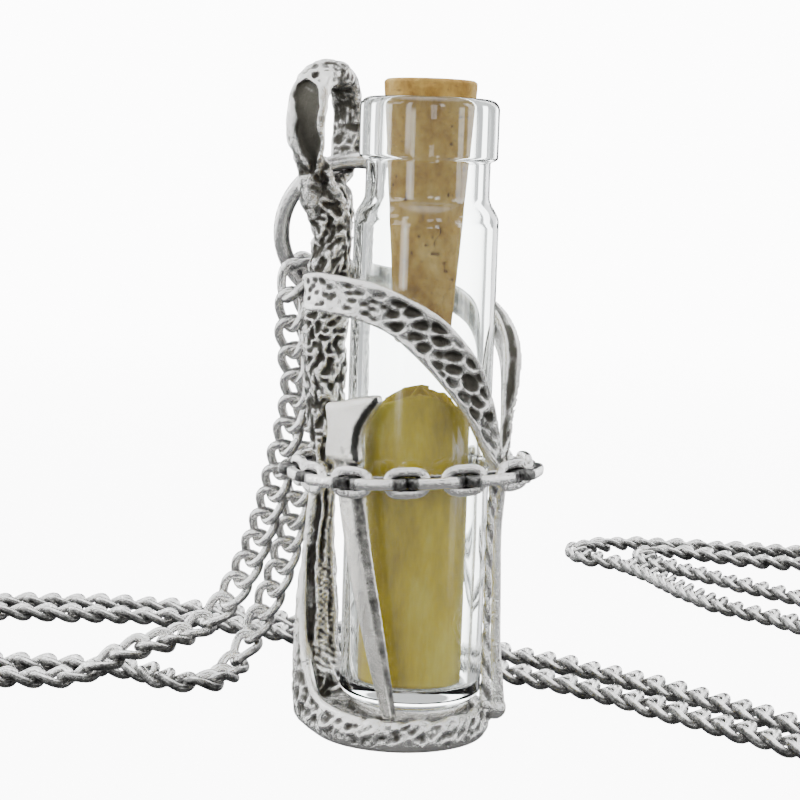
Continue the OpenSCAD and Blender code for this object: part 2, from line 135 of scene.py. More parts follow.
world = bpy.data.worlds.new("studio")
bpy.context.scene.world = world
room = node_tree(world)
place = add_node(room, "ShaderNodeTexCoord").outputs["Generated"]
split = add_node(room, "ShaderNodeSeparateXYZ", {0: place})
x, y, z = split.outputs
flat = math_node(room, "ARCTAN2", x, times(room, y, -1.0))  # 0 towards the camera, in radians
up_share = smooth_step(room, z, -0.1, 0.9)
low_level, rise, overhead_strength, glass_extra, backdrop_strength = 0.07, 0.12, 2.4, 0.9, 12.0
level = plus(room, low_level, times(room, up_share, rise))
SOFT_BOXES = [  # middle and half width in radians, low and high edge as a share of straight up, strength
    (-1.7, 0.13, -0.15, 0.7, 8.0), (-0.62, 0.04, -0.05, 0.5, 9.0), (1.25, 0.08, -0.1, 0.6, 8.0),
    (-2.6, 0.1, -0.2, 0.7, 7.0), (2.5, 0.13, -0.2, 0.7, 7.0), (0.35, 0.03, 0.2, 0.45, 9.0),
]
for middle, half, low, high, strength in SOFT_BOXES:
    off = math_node(room, "ABSOLUTE", minus(room, flat, middle))
    side = minus(room, 1.0, smooth_step(room, off, half, half + 0.07))
    top = minus(room, 1.0, smooth_step(room, z, high, high + 0.1))
    foot = smooth_step(room, z, low - 0.1, low)
    box = times(room, times(room, side, top), foot)
    level = plus(room, level, times(room, box, strength))
overhead = smooth_step(room, z, 0.82, 0.9)
level = plus(room, level, times(room, overhead, overhead_strength))
ray = add_node(room, "ShaderNodeLightPath")
bounces = plus(room, ray.outputs["Diffuse Depth"], ray.outputs["Glossy Depth"])
straight = math_node(room, "LESS_THAN", bounces, 0.5)
in_glass = math_node(room, "GREATER_THAN", ray.outputs["Transmission Depth"], 0.5)
not_matte = math_node(room, "LESS_THAN", ray.outputs["Diffuse Depth"], 0.5)
through_glass = times(room, in_glass, not_matte)
level = plus(room, level, times(room, through_glass, glass_extra))
seen_through = times(room, ray.outputs["Is Transmission Ray"], straight)
plain = math_node(room, "MAXIMUM", ray.outputs["Is Camera Ray"], seen_through)
studio_light = add_node(room, "ShaderNodeBackground", {"Color": (0.98, 0.99, 1.0, 1.0), "Strength": level})
plain_light = add_node(
    room, "ShaderNodeBackground", {"Color": (1.0, 1.0, 1.0, 1.0), "Strength": backdrop_strength}
)
mixed = {0: plain, 1: studio_light.outputs[0], 2: plain_light.outputs[0]}
both = add_node(room, "ShaderNodeMixShader", mixed)
add_node(room, "ShaderNodeOutputWorld", {"Surface": both.outputs[0]})


def area_light(name, where, size, watts):
    lamp = bpy.data.lights.new(name, "AREA")
    lamp.shape, lamp.size, lamp.size_y, lamp.energy = "RECTANGLE", size[0] * MM, size[1] * MM, watts
    holder = bpy.data.objects.new(name, lamp)
    bpy.context.scene.collection.objects.link(holder)
    holder.location = Vector(where) * MM
    holder.rotation_mode = "QUATERNION"
    holder.rotation_quaternion = (Vector((0, 0, 25)) * MM - holder.location).to_track_quat("-Z", "Y")


area_light("light_left", (-260, -160, 220), (90, 120), 0.16)
area_light("light_right", (280, -120, 200), (70, 120), 0.1)
area_light("light_top", (-20, 40, 420), (200, 200), 0.24)
area_light("light_front", (30, -280, 110), (50, 80), 0.06)
print("the room has", len(SOFT_BOXES) + 1, "soft boxes and 4 lamps")

# %% [markdown]
# Every cast or drawn part is a row of cross-sections set along a path. One helper runs a smooth
# curve through the rows of a table, one sets the sections across the path, and one turns the
# points into a mesh. Relief is added by moving the points of a section before the mesh is made,
# so it is real shape and not paint.

# %% Rows, sections and meshes
def smooth_rows(rows, steps, closed=False):
    """A smooth curve through rows of numbers, in steps between neighbours."""
    rows = np.asarray(rows, float)
    last = len(rows)
    made = []
    for i in range(last if closed else last - 1):
        near = [i - 1, i, i + 1, i + 2]
        a, b, c, d = (rows[k % last] if closed else rows[min(max(k, 0), last - 1)] for k in near)
        square, cube = 2 * a - 5 * b + 4 * c - d, 3 * b - a - 3 * c + d
        for t in np.arange(steps) / steps:
            made.append((2 * b + (c - a) * t + square * t ** 2 + cube * t ** 3) / 2)
    if not closed:
        made.append(rows[-1])
    return np.array(made)


def unit(v):
    return v / np.maximum(np.linalg.norm(v, axis=-1, keepdims=True), 1e-9)


def held(v):
    """A number held between 0 and 1."""
    return np.clip(v, 0, 1)


def hump(v, middle, half, power=2):
    """1 at the middle and nearly 0 past the half width; a higher power has a flatter top."""
    return np.exp(-((v - middle) / half) ** power)


def put(*values):
    """Places, one number for each direction, made the same size."""
    return np.stack(np.broadcast_arrays(*values), -1)


def full_turn(count):
    """Even directions all the way round, in radians."""
    return np.linspace(0, 2 * math.pi, count, endpoint=False)


def squarish(v, power):
    """Pushes a sine towards -1 and 1, which makes a square with round corners of a circle."""
    return np.sign(v) * np.abs(v) ** power


def headings(path, closed=False):
    if closed:
        return unit(np.roll(path, -1, 0) - np.roll(path, 1, 0))
    return unit(np.gradient(path, axis=0))


def across(path, out, sections, closed=False):
    """Sections (side, face) set across a path; the face axis points along out as far as it can."""
    way = headings(path, closed)
    side = unit(np.cross(out, way))
    face = np.cross(way, side)
    return path[:, None] + side[:, None] * sections[..., :1] + face[:, None] * sections[..., 1:]


def skin(rings, closed=False):
    """Points and faces of a tube through rings of points."""
    count, corners = rings.shape[:2]
    i = np.arange(count if closed else count - 1)[:, None]
    k = np.arange(corners)[None]
    j, q = (i + 1) % count, (k + 1) % corners
    faces = np.stack([i * corners + k, i * corners + q, j * corners + q, j * corners + k], -1)
    faces = faces.reshape(-1, 4).tolist()
    if not closed:
        faces.append(list(range(corners))[::-1])
        faces.append([(count - 1) * corners + c for c in range(corners)])
    return rings.reshape(-1, 3), faces


def join_skins(*skins):
    points, faces, start = [], [], 0
    for p, f in skins:
        points.append(p)
        faces += [[start + c for c in face] for face in f]
        start += len(p)
    return np.concatenate(points), faces


def new_piece(name, points, faces, finish, smooth=True):
    mesh = bpy.data.meshes.new(name)
    mesh.from_pydata((np.asarray(points) * MM).tolist(), [], faces)
    mesh.update()
    mesh.polygons.foreach_set("use_smooth", [smooth] * len(mesh.polygons))
    piece = bpy.data.objects.new(name, mesh)
    bpy.context.scene.collection.objects.link(piece)
    mesh.materials.append(finish)
    return piece


def round_the_vial(rows):
    """Places (angle in degrees, height, distance from the vial's axis) as points."""
    rows = np.asarray(rows, float)
    a = np.radians(rows[:, 0])
    return np.stack([rows[:, 2] * np.cos(a), rows[:, 2] * np.sin(a), rows[:, 1]], 1)


print("helpers ready")

# %% [markdown]
# Cast metal is never smooth by itself. The wax for it was worked with hot tools, which leaves
# dents, ridges and bark. Two patterns make all of it: a soft random field, and dents, which are
# hollows round scattered middles with ridges where two meet.

# %% Random fields and dents
def lattice(cells, seed):
    strides = (73856093, 19349663, 83492791)  # large odd numbers scatter neighbouring cells
    i, j, k = (cells[..., axis] * stride for axis, stride in enumerate(strides))
    mixed = i ^ j ^ k ^ (seed * 2654435761 % 2147483647)
    mixed = (mixed ^ (mixed >> 13)) * 1274126177
    return ((mixed ^ (mixed >> 16)) & 65535) / 32767.5 - 1


def field(points, size, seed=1):
    """A soft random number from -1 to 1 at each point, with lumps of that size."""
    p = np.asarray(points, float) / size
    cell = np.floor(p).astype(np.int64)
    t = p - cell
    t = t * t * (3 - 2 * t)
    total = 0
    for corner in np.ndindex(2, 2, 2):
        c = np.array(corner)
        weight = np.prod(np.where(c == 1, t, 1 - t), axis=-1)
        total = total + weight * lattice(cell + c, seed)
    return total


def ridged(points, size, seed=1):
    """0 in the hollows and 1 along sharp crests."""
    return 1 - np.abs(field(points, size, seed)) * 2


def dents(places, step, seed, spread=0.35, stretch=(1.0, 1.0), lean=0.0):
    """0 on the ridges to 1 in the middle of each dent, for places on a flat sheet in mm."""
    places = np.asarray(places, float)
    c, s = math.cos(lean), math.sin(lean)
    turned = np.stack([places[..., 0] * c + places[..., 1] * s, -places[..., 0] * s + places[..., 1] * c], -1)
    p = turned / step / np.array(stretch)
    cell = np.floor(p).astype(np.int64)
    best = np.full(p.shape[:-1], 9.0)
    for di in (-1, 0, 1):
        for dj in (-1, 0, 1):
            near = cell + np.array([di, dj])
            key = np.concatenate([near, np.zeros_like(near[..., :1])], -1)
            middle = near + 0.5 + spread * np.stack([lattice(key, seed), lattice(key, seed + 7)], -1)
            best = np.minimum(best, np.linalg.norm(p - middle, axis=-1))
    return held(1 - (best / 0.62) ** 2)


print("a field runs from", field(np.random.default_rng(1).uniform(0, 50, (2000, 3)), 1.0).min().round(2))

# %% [markdown]
# The silver is dipped to blacken it and then polished, so the black stays in the hollows and
# the crests shine. The material needs to know where the hollows are. It is measured on the mesh
# itself: a smoothed copy of the mesh lies outside the surface where that is hollow and inside it
# where it stands up, and the distance between the two is kept on each point.

# %% Finding the hollows
def keep_marks(piece, **marks):
    """Keeps a number on each point of a piece under each name."""
    for name, values in marks.items():
        kept = piece.data.attributes.new(name, "FLOAT", "POINT")
        kept.data.foreach_set("value", np.asarray(values, np.float32))


def measure_hollows(piece, scales):
    """Keeps on each point how hollow it is, 0.5 being flat, from (rounds of smoothing, depth in mm) pairs."""
    mesh = piece.data
    count = len(mesh.vertices)
    co, normal = np.empty(count * 3), np.empty(count * 3)
    mesh.vertices.foreach_get("co", co)
    mesh.vertices.foreach_get("normal", normal)
    co, normal = co.reshape(-1, 3) / MM, normal.reshape(-1, 3)
    edge = np.empty(len(mesh.edges) * 2, np.int64)
    mesh.edges.foreach_get("vertices", edge)
    a, b = edge.reshape(-1, 2).T
    degree = np.maximum(np.bincount(a, minlength=count) + np.bincount(b, minlength=count), 1)[:, None]
    soft, hollow, done = co.copy(), np.zeros(count), 0
    for rounds, depth in scales:
        for _ in range(rounds - done):
            total = np.stack(
                [np.bincount(a, soft[b, k], count) + np.bincount(b, soft[a, k], count) for k in range(3)], 1
            )
            soft = 0.3 * soft + 0.7 * total / degree
        done = rounds
        hollow += np.tanh(((soft - co) * normal).sum(1) / depth) / len(scales)
    keep_marks(piece, hollow=0.5 + hollow / 2)
    low, middle, high = np.percentile(hollow, (10, 50, 90)) / 2 + 0.5
    print(f"{piece.name}: {len(mesh.polygons)} faces, hollow {low:.2f} / {middle:.2f} / {high:.2f}"
          " in its 10th, 50th and 90th share")


# %% [markdown]
# Three silver finishes share one recipe. The colour runs from bright metal on the crests to a
# black tarnish in the hollows, and tarnish is rough where polished silver is smooth. Each point
# of a piece carries two more numbers: how much more or less black it is than its hollows say,
# and how strong the fine bark is there. The first number is tarnish on most parts, and it also
# carries painted light: a painted dark reflection and painted highlights on the eyelet, painted
# shade on the hatchet's right side and in the ends of the lying girdle links, and a seat ring
# painted paler. The bark is a noise in millimetres on the object itself, which moves the bump and
# the tarnish together, so every fine crest is bright.

# %% Silver
def object_place(tree, stretch=(1.0, 1.0, 1.0)):
    spot = add_node(tree, "ShaderNodeTexCoord").outputs["Object"]
    return add_node(
        tree, "ShaderNodeMapping", {"Vector": spot, "Scale": tuple(1000 * s for s in stretch)}
    ).outputs["Vector"]


def ramp(tree, value, *stops):
    made = tree.nodes.new("ShaderNodeValToRGB")
    tree.links.new(value, made.inputs[0])
    bar = made.color_ramp.elements
    while len(bar) < len(stops):
        bar.new(0.5)
    for stop, (at, colour) in zip(bar, stops):
        stop.position = at
        stop.color = (*colour, 1.0)
    return made.outputs[0]


def kept_mark(tree, name):
    """The number that each point of a piece keeps under that name."""
    return add_node(tree, "ShaderNodeAttribute", attribute_name=name).outputs["Fac"]


def noise(tree, place, scale, detail, rough=0.5, distortion=0.0):
    inputs = {"Vector": place, "Scale": scale, "Detail": detail, "Roughness": rough, "Distortion": distortion}
    return add_node(tree, "ShaderNodeTexNoise", inputs).outputs["Fac"]


def bump_from(tree, height, strength, distance):
    inputs = {"Height": height, "Strength": strength, "Distance": distance}
    return add_node(tree, "ShaderNodeBump", inputs).outputs["Normal"]


def end_in_shader(tree, inputs):
    shader = add_node(tree, "ShaderNodeBsdfPrincipled", inputs)
    add_node(tree, "ShaderNodeOutputMaterial", {"Surface": shader.outputs[0]})


def silver(name, bright, dark, low, high, rough=(0.16, 0.5), scratch=0.2, fine_size=0.35):
    """Metal that is bright below the black value low and black above high."""
    finish = bpy.data.materials.new(name)
    tree = node_tree(finish)
    hollow = kept_mark(tree, "hollow")
    # This mark holds tarnish, and on some parts painted shade, painted highlights and a painted reflection.
    tarnish = kept_mark(tree, "tarnish")
    bark_share = kept_mark(tree, "bark")
    spot = object_place(tree)
    upright = object_place(tree, (1.0, 1.0, 0.6))
    veins = noise(tree, upright, 1 / fine_size, 5.0, 0.62, 0.8)
    veins = times(tree, minus(tree, veins, 0.5), bark_share)
    cloud = noise(tree, spot, 1.1, 5.0, 0.65)
    cloud = times(tree, minus(tree, cloud, 0.5), 0.5)
    darkened = plus(tree, plus(tree, hollow, tarnish), minus(tree, cloud, veins))
    black = smooth_step(tree, darkened, low, high)
    mid = tuple(0.34 * a + 0.66 * b for a, b in zip(bright, dark))
    colour = ramp(tree, black, (0.0, bright), (0.5, mid), (1.0, dark))
    fine = noise(tree, spot, 9.0, 4.0, 0.65)
    base_rough = plus(tree, rough[0], times(tree, black, rough[1] - rough[0]))
    roughness = plus(tree, base_rough, times(tree, minus(tree, fine, 0.5), 0.16))
    height = plus(tree, times(tree, fine, scratch), times(tree, veins, 3.0))
    bump = bump_from(tree, height, 1.0, 0.00006)
    end_in_shader(tree, {"Base Color": colour, "Roughness": roughness, "Normal": bump, "Metallic": 1.0})
    return finish


cast_silver = silver(
    "cast_silver", (0.93, 0.92, 0.89), (0.07, 0.067, 0.056), 0.36, 1.1,
    rough=(0.12, 0.34), scratch=0.7, fine_size=0.28,
)
polished_silver = silver(
    "polished_silver", (0.78, 0.76, 0.71), (0.06, 0.06, 0.057), 0.5, 1.0, rough=(0.24, 0.3), scratch=0.6
)
link_silver = silver(
    "link_silver", (0.92, 0.91, 0.89), (0.05, 0.05, 0.048), 0.48, 0.95, rough=(0.11, 0.34), scratch=0.35
)
print("3 silver finishes")

# %% [markdown]
# The table is white and has no edge. It is a wide disc of mostly clear white, which fades to
# nothing far out, so the white backdrop shows through it and takes over without a line.

# %% Table
def table_finish():
    finish = bpy.data.materials.new("white_table")
    tree = node_tree(finish)
    spot = add_node(tree, "ShaderNodeTexCoord").outputs["Object"]
    far = add_node(tree, "ShaderNodeVectorMath", {0: spot}, operation="LENGTH").outputs["Value"]
    shader = add_node(
        tree, "ShaderNodeBsdfPrincipled", {"Base Color": (0.93, 0.93, 0.93, 1), "Roughness": 0.55}
    )
    clear = add_node(tree, "ShaderNodeBsdfTransparent")
    gone = add_node(tree, "ShaderNodeMapRange", {
        "Value": far, "From Min": 0.1, "From Max": 0.45, "To Min": 0.85, "To Max": 1.0,
    }, interpolation_type="SMOOTHSTEP").outputs["Result"]
    mixed = add_node(tree, "ShaderNodeMixShader", {0: gone, 1: shader.outputs[0], 2: clear.outputs[0]})
    add_node(tree, "ShaderNodeOutputMaterial", {"Surface": mixed.outputs[0]})
    return finish


turns = full_turn(96)
table_radius, below_the_part = 600, 0.02
disc = np.stack([table_radius * np.cos(turns), table_radius * np.sin(turns), 0 * turns - below_the_part], 1)
table = new_piece("table", disc, [list(range(len(turns)))], table_finish(), smooth=False)
print("table", 2 * table_radius, "mm across")

# %% [markdown]
# The vial is blown glass with a thick pressed lip and a thick floor. Glass needs both its outer
# and its inner wall, because each bends the light, so the profile goes up the outside and down
# the inside and is turned round the axis. A very small waviness keeps it from looking drawn.

# %% Glass vial
def arc(r, z, radius, start, stop, steps=8):
    angles = np.radians(np.linspace(start, stop, steps + 1))
    return [(r + radius * math.cos(a), z + radius * math.sin(a)) for a in angles]


def s_step(r0, z0, r1, z1):
    t = np.linspace(0, 1, 15)
    return list(zip(r0 + (r1 - r0) * (1 - np.cos(math.pi * t)) / 2, z0 + (z1 - z0) * t))


def turned_piece(name, profile, finish, segments, wobble, seed):
    """A profile (radius, height) turned round the Z axis, with a slight waviness."""
    profile = np.array(profile)
    angles = full_turn(segments)
    way = np.stack([np.cos(angles), np.sin(angles)], 1)
    rings = np.concatenate(
        [profile[:, None, :1] * way[None], np.repeat(profile[:, None, 1:], segments, 1)], -1
    )
    rings[..., :2] *= 1 + wobble * field(rings, 6.0, seed)[..., None]
    return new_piece(name, *skin(rings), finish)


def glass_finish():
    finish = bpy.data.materials.new("vial_glass")
    tree = node_tree(finish)
    ripple = noise(tree, object_place(tree, (1, 1, 0.3)), 0.25, 2.0)
    bump = bump_from(tree, ripple, 0.06, 0.0005)
    end_in_shader(tree, {
        "Base Color": (0.955, 0.985, 0.975, 1), "Roughness": 0.0, "IOR": 1.5, "Transmission Weight": 1.0,
        "Normal": bump,
    })
    return finish


vial_foot = 3.2
outside = (
    [(0.05, vial_foot + 0.25), (3.2, vial_foot + 0.2), (4.4, vial_foot + 0.05)] + arc(4.95, 4.2, 1.0, -80, 0)
    + [(6.0, 20.0), (6.0, 38.0)] + s_step(5.99, 43.2, 5.15, 45.3) + [(5.14, 46.6), (5.15, 47.7)]
    + arc(5.33, 47.95, 0.2, 180, 100, 4) + [(5.5, 48.22)] + arc(5.5, 48.5, 0.24, -60, 0, 4)
    + [(5.75, 50.5)] + arc(4.9, 52.35, 0.85, 0, 90)
)
inside = (
    arc(4.3, 52.75, 0.44, 90, 180, 6) + [(3.88, 51.0), (3.9, 47.0)] + s_step(3.9, 45.2, 4.9, 42.6)
    + [(4.9, 30.0), (4.9, 12.0)] + arc(4.5, 5.0, 0.4, 0, -90, 6) + [(2.5, 4.66), (0.05, 4.75)]
)
vial = turned_piece("glass_vial_clear", outside + inside, glass_finish(), 160, 0.0012, 3)
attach(vial, "pendant")
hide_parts("glass_vial")
print("glass with", len(vial.data.vertices), "points")

# %% [markdown]
# Natural cork is cut from bark: its face shows short brown pores, darker flecks and now and
# then a crack. The larger pores are real pits in the mesh and the fine grain is in the finish.

# %% Cork
def mixed_colour(tree, share, below, above):
    inputs = {"Factor": share, "A": below, "B": above}
    return add_node(tree, "ShaderNodeMix", inputs, data_type="RGBA").outputs["Result"]


def cork_finish():
    finish = bpy.data.materials.new("natural_cork")
    tree = node_tree(finish)
    pit = kept_mark(tree, "hollow")
    cloud = noise(tree, object_place(tree, (1, 1, 0.7)), 0.45, 6.0, 0.62)
    cells = {"Vector": object_place(tree, (1, 1, 0.8)), "Scale": 2.6, "Randomness": 1.0}
    grain = add_node(tree, "ShaderNodeTexVoronoi", cells).outputs["Distance"]
    fleck = noise(tree, object_place(tree, (1, 1, 1.7)), 2.2, 3.0, 0.7)
    tan = ramp(tree, cloud, (0.3, (0.36, 0.19, 0.04)), (0.48, (0.58, 0.36, 0.09)), (0.7, (0.76, 0.54, 0.19)))
    specks = smooth_step(tree, fleck, 0.6, 0.7)
    darkened = mixed_colour(tree, times(tree, specks, 0.55), tan, (0.22, 0.1, 0.04, 1))
    dark = smooth_step(tree, pit, 0.6, 0.95)
    colour = mixed_colour(tree, times(tree, dark, 0.85), darkened, (0.13, 0.055, 0.02, 1))
    height = plus(tree, times(tree, grain, 0.5), fleck)
    bump = bump_from(tree, height, 0.5, 0.0001)
    end_in_shader(tree, {"Base Color": colour, "Roughness": 0.75, "Specular IOR Level": 0.25, "Normal": bump})
    return finish


def pitted_cork():
    high, around, low_z, top_z = 150, 200, 33.1, 54.7
    z = np.linspace(low_z + 0.02, top_z - 0.02, high)
    share = (z - low_z) / (top_z - low_z)
    tip_radius, mouth_radius = 2.3, 3.88
    r = tip_radius + (mouth_radius - tip_radius) * share
    edge = np.minimum(z - low_z, top_z - z)
    r = r - 0.3 * held(1 - edge / 0.3) ** 2
    a = full_turn(around)
    rings = np.stack([r[:, None] * np.cos(a), r[:, None] * np.sin(a), np.repeat(z[:, None], around, 1)], -1)
    caps = []
    for level, sign in ((low_z, 1), (top_z, -1)):
        radii = np.linspace(0.04, 1, 22)[:, None]
        end_r = (r[0] if sign > 0 else r[-1]) * radii
        caps.append(np.stack([end_r * np.cos(a), end_r * np.sin(a), np.full_like(end_r * a, level)], -1))
    rings = np.concatenate([caps[0][:-1], rings, caps[1][-2::-1]])
    pits = held(field(rings * (1, 1, 0.8), 0.55, 11) - 0.42) * held(field(rings, 2.4, 5) + 0.5)
    soft = 0.5 + 0.5 * field(rings, 0.9, 8)
    way = unit(rings * (1, 1, 0) + np.array([0, 0, 1e-6]))
    rings = rings - way * (0.02 * soft + 0.35 * pits)[..., None]
    crack_x, crack_half_wide, crack_z, crack_half_tall = 0.95, 0.07, 42.1, 0.9
    wave = 0.25 * np.sin(rings[..., 2] * 3)
    in_reach = (np.abs(rings[..., 2] - crack_z) < crack_half_tall) * (rings[..., 1] < 0)
    crack = hump(rings[..., 0] - crack_x, wave, crack_half_wide) * in_reach
    rings = rings - way * (0.18 * crack)[..., None]
    ends = np.zeros(len(rings))
    ends[-21:] = 1
    rings[..., 2] -= 0.2 * pits * ends[:, None]
    return skin(rings)


cork = new_piece("cork_pitted", *pitted_cork(), cork_finish())
measure_hollows(cork, [(10, 0.05)])
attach(cork, "cork")
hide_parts("cork_stopper")

# %% [markdown]
# The scroll is one strip of parchment, rolled a little more than twice. It is a sheet with a
# real thickness that follows a spiral. Its outer layer ends in a curved top, and the inner
# layers stand in low torn waves, which show through the glass above the outer one.

# %% Parchment scroll
def parchment_finish():
    finish = bpy.data.materials.new("aged_parchment")
    tree = node_tree(finish)
    spot = object_place(tree, (1, 1, 0.35))
    cloud = noise(tree, object_place(tree, (1, 1, 0.3)), 0.22, 5.0, 0.55)
    fibre = noise(tree, spot, 3.5, 5.0, 0.7)
    tone = plus(tree, times(tree, cloud, 0.8), times(tree, fibre, 0.2))
    colour = ramp(
        tree, tone, (0.3, (0.4, 0.26, 0.004)), (0.5, (0.74, 0.54, 0.018)), (0.7, (0.92, 0.78, 0.13))
    )
    bump = bump_from(tree, fibre, 0.35, 0.00008)
    end_in_shader(tree, {"Base Color": colour, "Roughness": 0.55, "Specular IOR Level": 0.35, "Normal": bump})
    return finish


def rolled_sheet():
    along, high, thick = 420, 90, 0.28
    foot, tall, top_radius = 4.82, 24.5, 4.75
    turn = np.linspace(0, 2.1, along)
    angle = np.radians(80) + turn * 2 * math.pi
    radius = 4.6 - 0.62 * turn
    reach = radius * np.cos(angle)
    crown = foot + tall - top_radius + np.sqrt(np.maximum(top_radius ** 2 - reach ** 2, 0))
    waves, nicks = field(put(angle * 2, 0, 0), 1.0, 21), field(put(angle * 9, 0, 0), 1.0, 22)
    torn = 0.55 * np.abs(waves) + 0.12 * nicks
    inner = held(turn - 0.8)
    crown = crown - 0.15 - np.maximum(torn, 0) * (0.35 + 1.6 * inner)
    share = np.linspace(0, 1, high)
    z = foot + share[None] * (crown - foot)[:, None]
    cockle = 0.045 * field(put(angle[:, None] * 3, z * 0.35, 0), 1.0, 31)
    sides = []
    for half in (thick / 2, -thick / 2):
        r = radius[:, None] + half + cockle - 0.03
        sides.append(np.stack([r * np.cos(angle)[:, None], r * np.sin(angle)[:, None], z], -1))
    out, back = sides
    loop = np.concatenate([out, back[:, ::-1]], 1)
    return skin(loop)


scroll = new_piece("scroll_parchment", *rolled_sheet(), parchment_finish())
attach(scroll, "pendant")
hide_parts("paper_scroll")
print("scroll with", len(scroll.data.vertices), "points")

# %% [markdown]
# The cage was modelled in wax and cast in one piece. Its parts are built one by one below, each
# with its own relief, and then joined into one skin by a voxel remesh, which melts the joints
# together as solder does. First comes the base: a thick dish with a hammered wall.

# %% Cage: base
def painted(shell, tarnish=0.0, bark=0.5):
    """A shell, and how black and how rough each of its points is."""
    points, faces = shell
    both = [np.ravel(v) + np.zeros(len(points)) for v in np.broadcast_arrays(tarnish, bark)]
    return points, faces, np.stack(both, 1)


RIM_RISE = [  # direction in degrees, and how far the rim rises there; it runs up into the post
    (0, 0.0), (130, 0.0), (146, 0.5), (155, 2.6), (160, 4.1), (165, 3.2), (172, 2.1), (180, 1.35),
    (190, 0.8), (200, 0.35), (215, 0.0), (250, -0.12), (300, 0.0), (330, 0.2), (350, 0.15), (360, 0.0),
]
FLANK = [  # direction in degrees, and how far the wall swells there to take in the post's foot
    (0, 0.0), (118, 0.0), (130, 0.7), (142, 1.5), (152, 1.95), (159, 2.0), (167, 1.7), (176, 1.05),
    (186, 0.45), (196, 0.1), (204, 0.0), (360, 0.0),
]


def base_dish():
    around = 460
    profile = smooth_rows([
        (0.02, 0.0), (3.5, 0.0), (6.6, 0.0), (7.15, 0.06), (7.5, 0.45), (7.72, 1.2), (7.62, 2.1),
        (7.4, 2.62), (7.05, 2.76), (6.7, 2.6), (6.4, 2.25), (6.0, 2.1), (3.0, 2.1), (0.02, 2.1),
    ], 8)
    a = full_turn(around)
    r = np.repeat(profile[:, :1], around, 1)
    z = np.repeat(profile[:, 1:], around, 1)
    wall = held((r - 6.9) / 0.5) * held((z - 0.1) / 0.5)
    flat = np.stack([a[None] * 7.5 + 0 * z, z * 1.1 - r * 0.7], -1)
    flat = flat + 0.2 * field(put(flat[..., 0], flat[..., 1], 0), 0.9, 47)[..., None]
    dent = dents(flat, 1.12, 41, 0.34, (1.45, 0.66), 0.6)
    place = np.stack([r * np.cos(a), r * np.sin(a), z], -1)
    crease = ridged(place, 0.7, 42)
    upper = np.clip((z - 0.5) / 0.7, 0.25, 1)
    r = r - wall * (0.27 * dent * upper - 0.1 * crease - 0.06 * field(place, 0.35, 45))
    rim = held((r - 6.3) / 0.5) * held(z / 2.7) ** 1.5
    top = held((z - 2.2) / 0.5) * rim
    round_a = put(a * 7 + 0 * z, 0, 0)
    z = z + top * (0.26 * field(round_a, 1.3, 43) + 0.16 * field(round_a, 0.6, 46))
    z = z + rim * np.interp(np.degrees(a), *np.transpose(RIM_RISE))[None]
    r = r + held((r - 5.5) / 2) * np.interp(np.degrees(a), *np.transpose(FLANK))[None]
    dish = (np.hypot(place[..., 0], place[..., 1]) < 6.5) & (place[..., 2] > 1)
    rough = ridged(place * (1, 1, 0), 0.9, 44)
    z = z + dish * (0.16 * rough - 0.1)
    flank = np.interp(np.degrees(a), (138, 150, 215, 235), (0, 1, 1, 0))[None]
    streaks = field(place * (1, 1, 0.3), 0.45, 48) + 0.3
    tarnish = wall * (0.2 * dent * upper - 0.12 * crease + 0.03 + 0.3 * flank * streaks)
    tarnish = tarnish + dish * (0.12 - 0.25 * rough) + (0.8 * flank - 0.35) * top
    tarnish = tarnish + 0.3 * flank * (r < 7.2) * (z > 2.3)
    base_x = -0.9
    return painted(skin(put(base_x + r * np.cos(a), r * np.sin(a), z)), tarnish, 0.55 + 0.3 * dish)


def rim_sweep():
    """The bright edge that comes down the post's flange and runs along the rim to the front."""
    rows = smooth_rows([
        (-9.35, 3.6, 15.0, 0.35), (-9.4, 3.4, 12.0, 0.55), (-9.4, 3.1, 9.0, 0.7), (-9.25, 2.6, 6.8, 0.8),
        (-8.9, 1.8, 5.2, 0.85), (-8.5, 0.2, 4.1, 0.85), (-7.95, -1.8, 3.3, 0.8), (-6.95, -3.7, 2.85, 0.75),
        (-5.5, -5.3, 2.6, 0.6), (-3.8, -6.4, 2.5, 0.45),
    ], 12)
    return painted(round_tube(rows[:, :3], rows[:, 3], 20), -0.4, 0.15)


def seat_ring():
    a = full_turn(160)
    rows = [(0.05, 1.5), (4.9, 1.5), (4.95, 2.9), (4.8, 3.08), (0.05, 3.08)]
    rings = np.array([[(r * math.cos(t), r * math.sin(t), z) for t in a] for r, z in rows])
    # The seat ring is painted paler than the cast: painted light, so the vial's floor above it is not dark.
    return painted(skin(rings), -0.3, 0.4)


def round_tube(path, widths, corners=24, relief=None):
    turn = full_turn(corners)
    sections = np.stack([np.cos(turn), np.sin(turn)], -1)[None] * np.asarray(widths)[:, None, None] / 2
    if relief is not None:
        sections = sections * (1 + relief(np.arange(len(path))[:, None], turn[None]))[..., None]
    out = unit(path * (1, 1, 0))
    return skin(across(path, out, sections))


def knob():
    far, way, height = 7.24, math.radians(-4), 2.41
    middle = np.array([far * math.cos(way), far * math.sin(way), height])
    rings = []
    for t in np.linspace(-1.5, 1.5, 24):
        level, radius = middle + (0, 0, math.sin(t)), 0.5 * (2 * math.cos(t))
        turn = np.linspace(0, 6.2832, 32, endpoint=False)
        rings.append([level + radius * np.array([math.cos(s), math.sin(s), 0]) for s in turn])
    return painted(skin(np.array(rings)), -0.15, 0.3)


cage_parts = [base_dish(), rim_sweep(), seat_ring(), knob()]
print("base, seat and knob")

# %% [markdown]
# The post stands like a gnarled branch behind the vial. At its foot it is split by two grooves
# into a bright left flange and a thin inner rib, and above that it carries bark: ridges that
# run mostly upright. The rows of its table follow the CAD post. At its top two branches come
# down from the eyelet and melt into it.

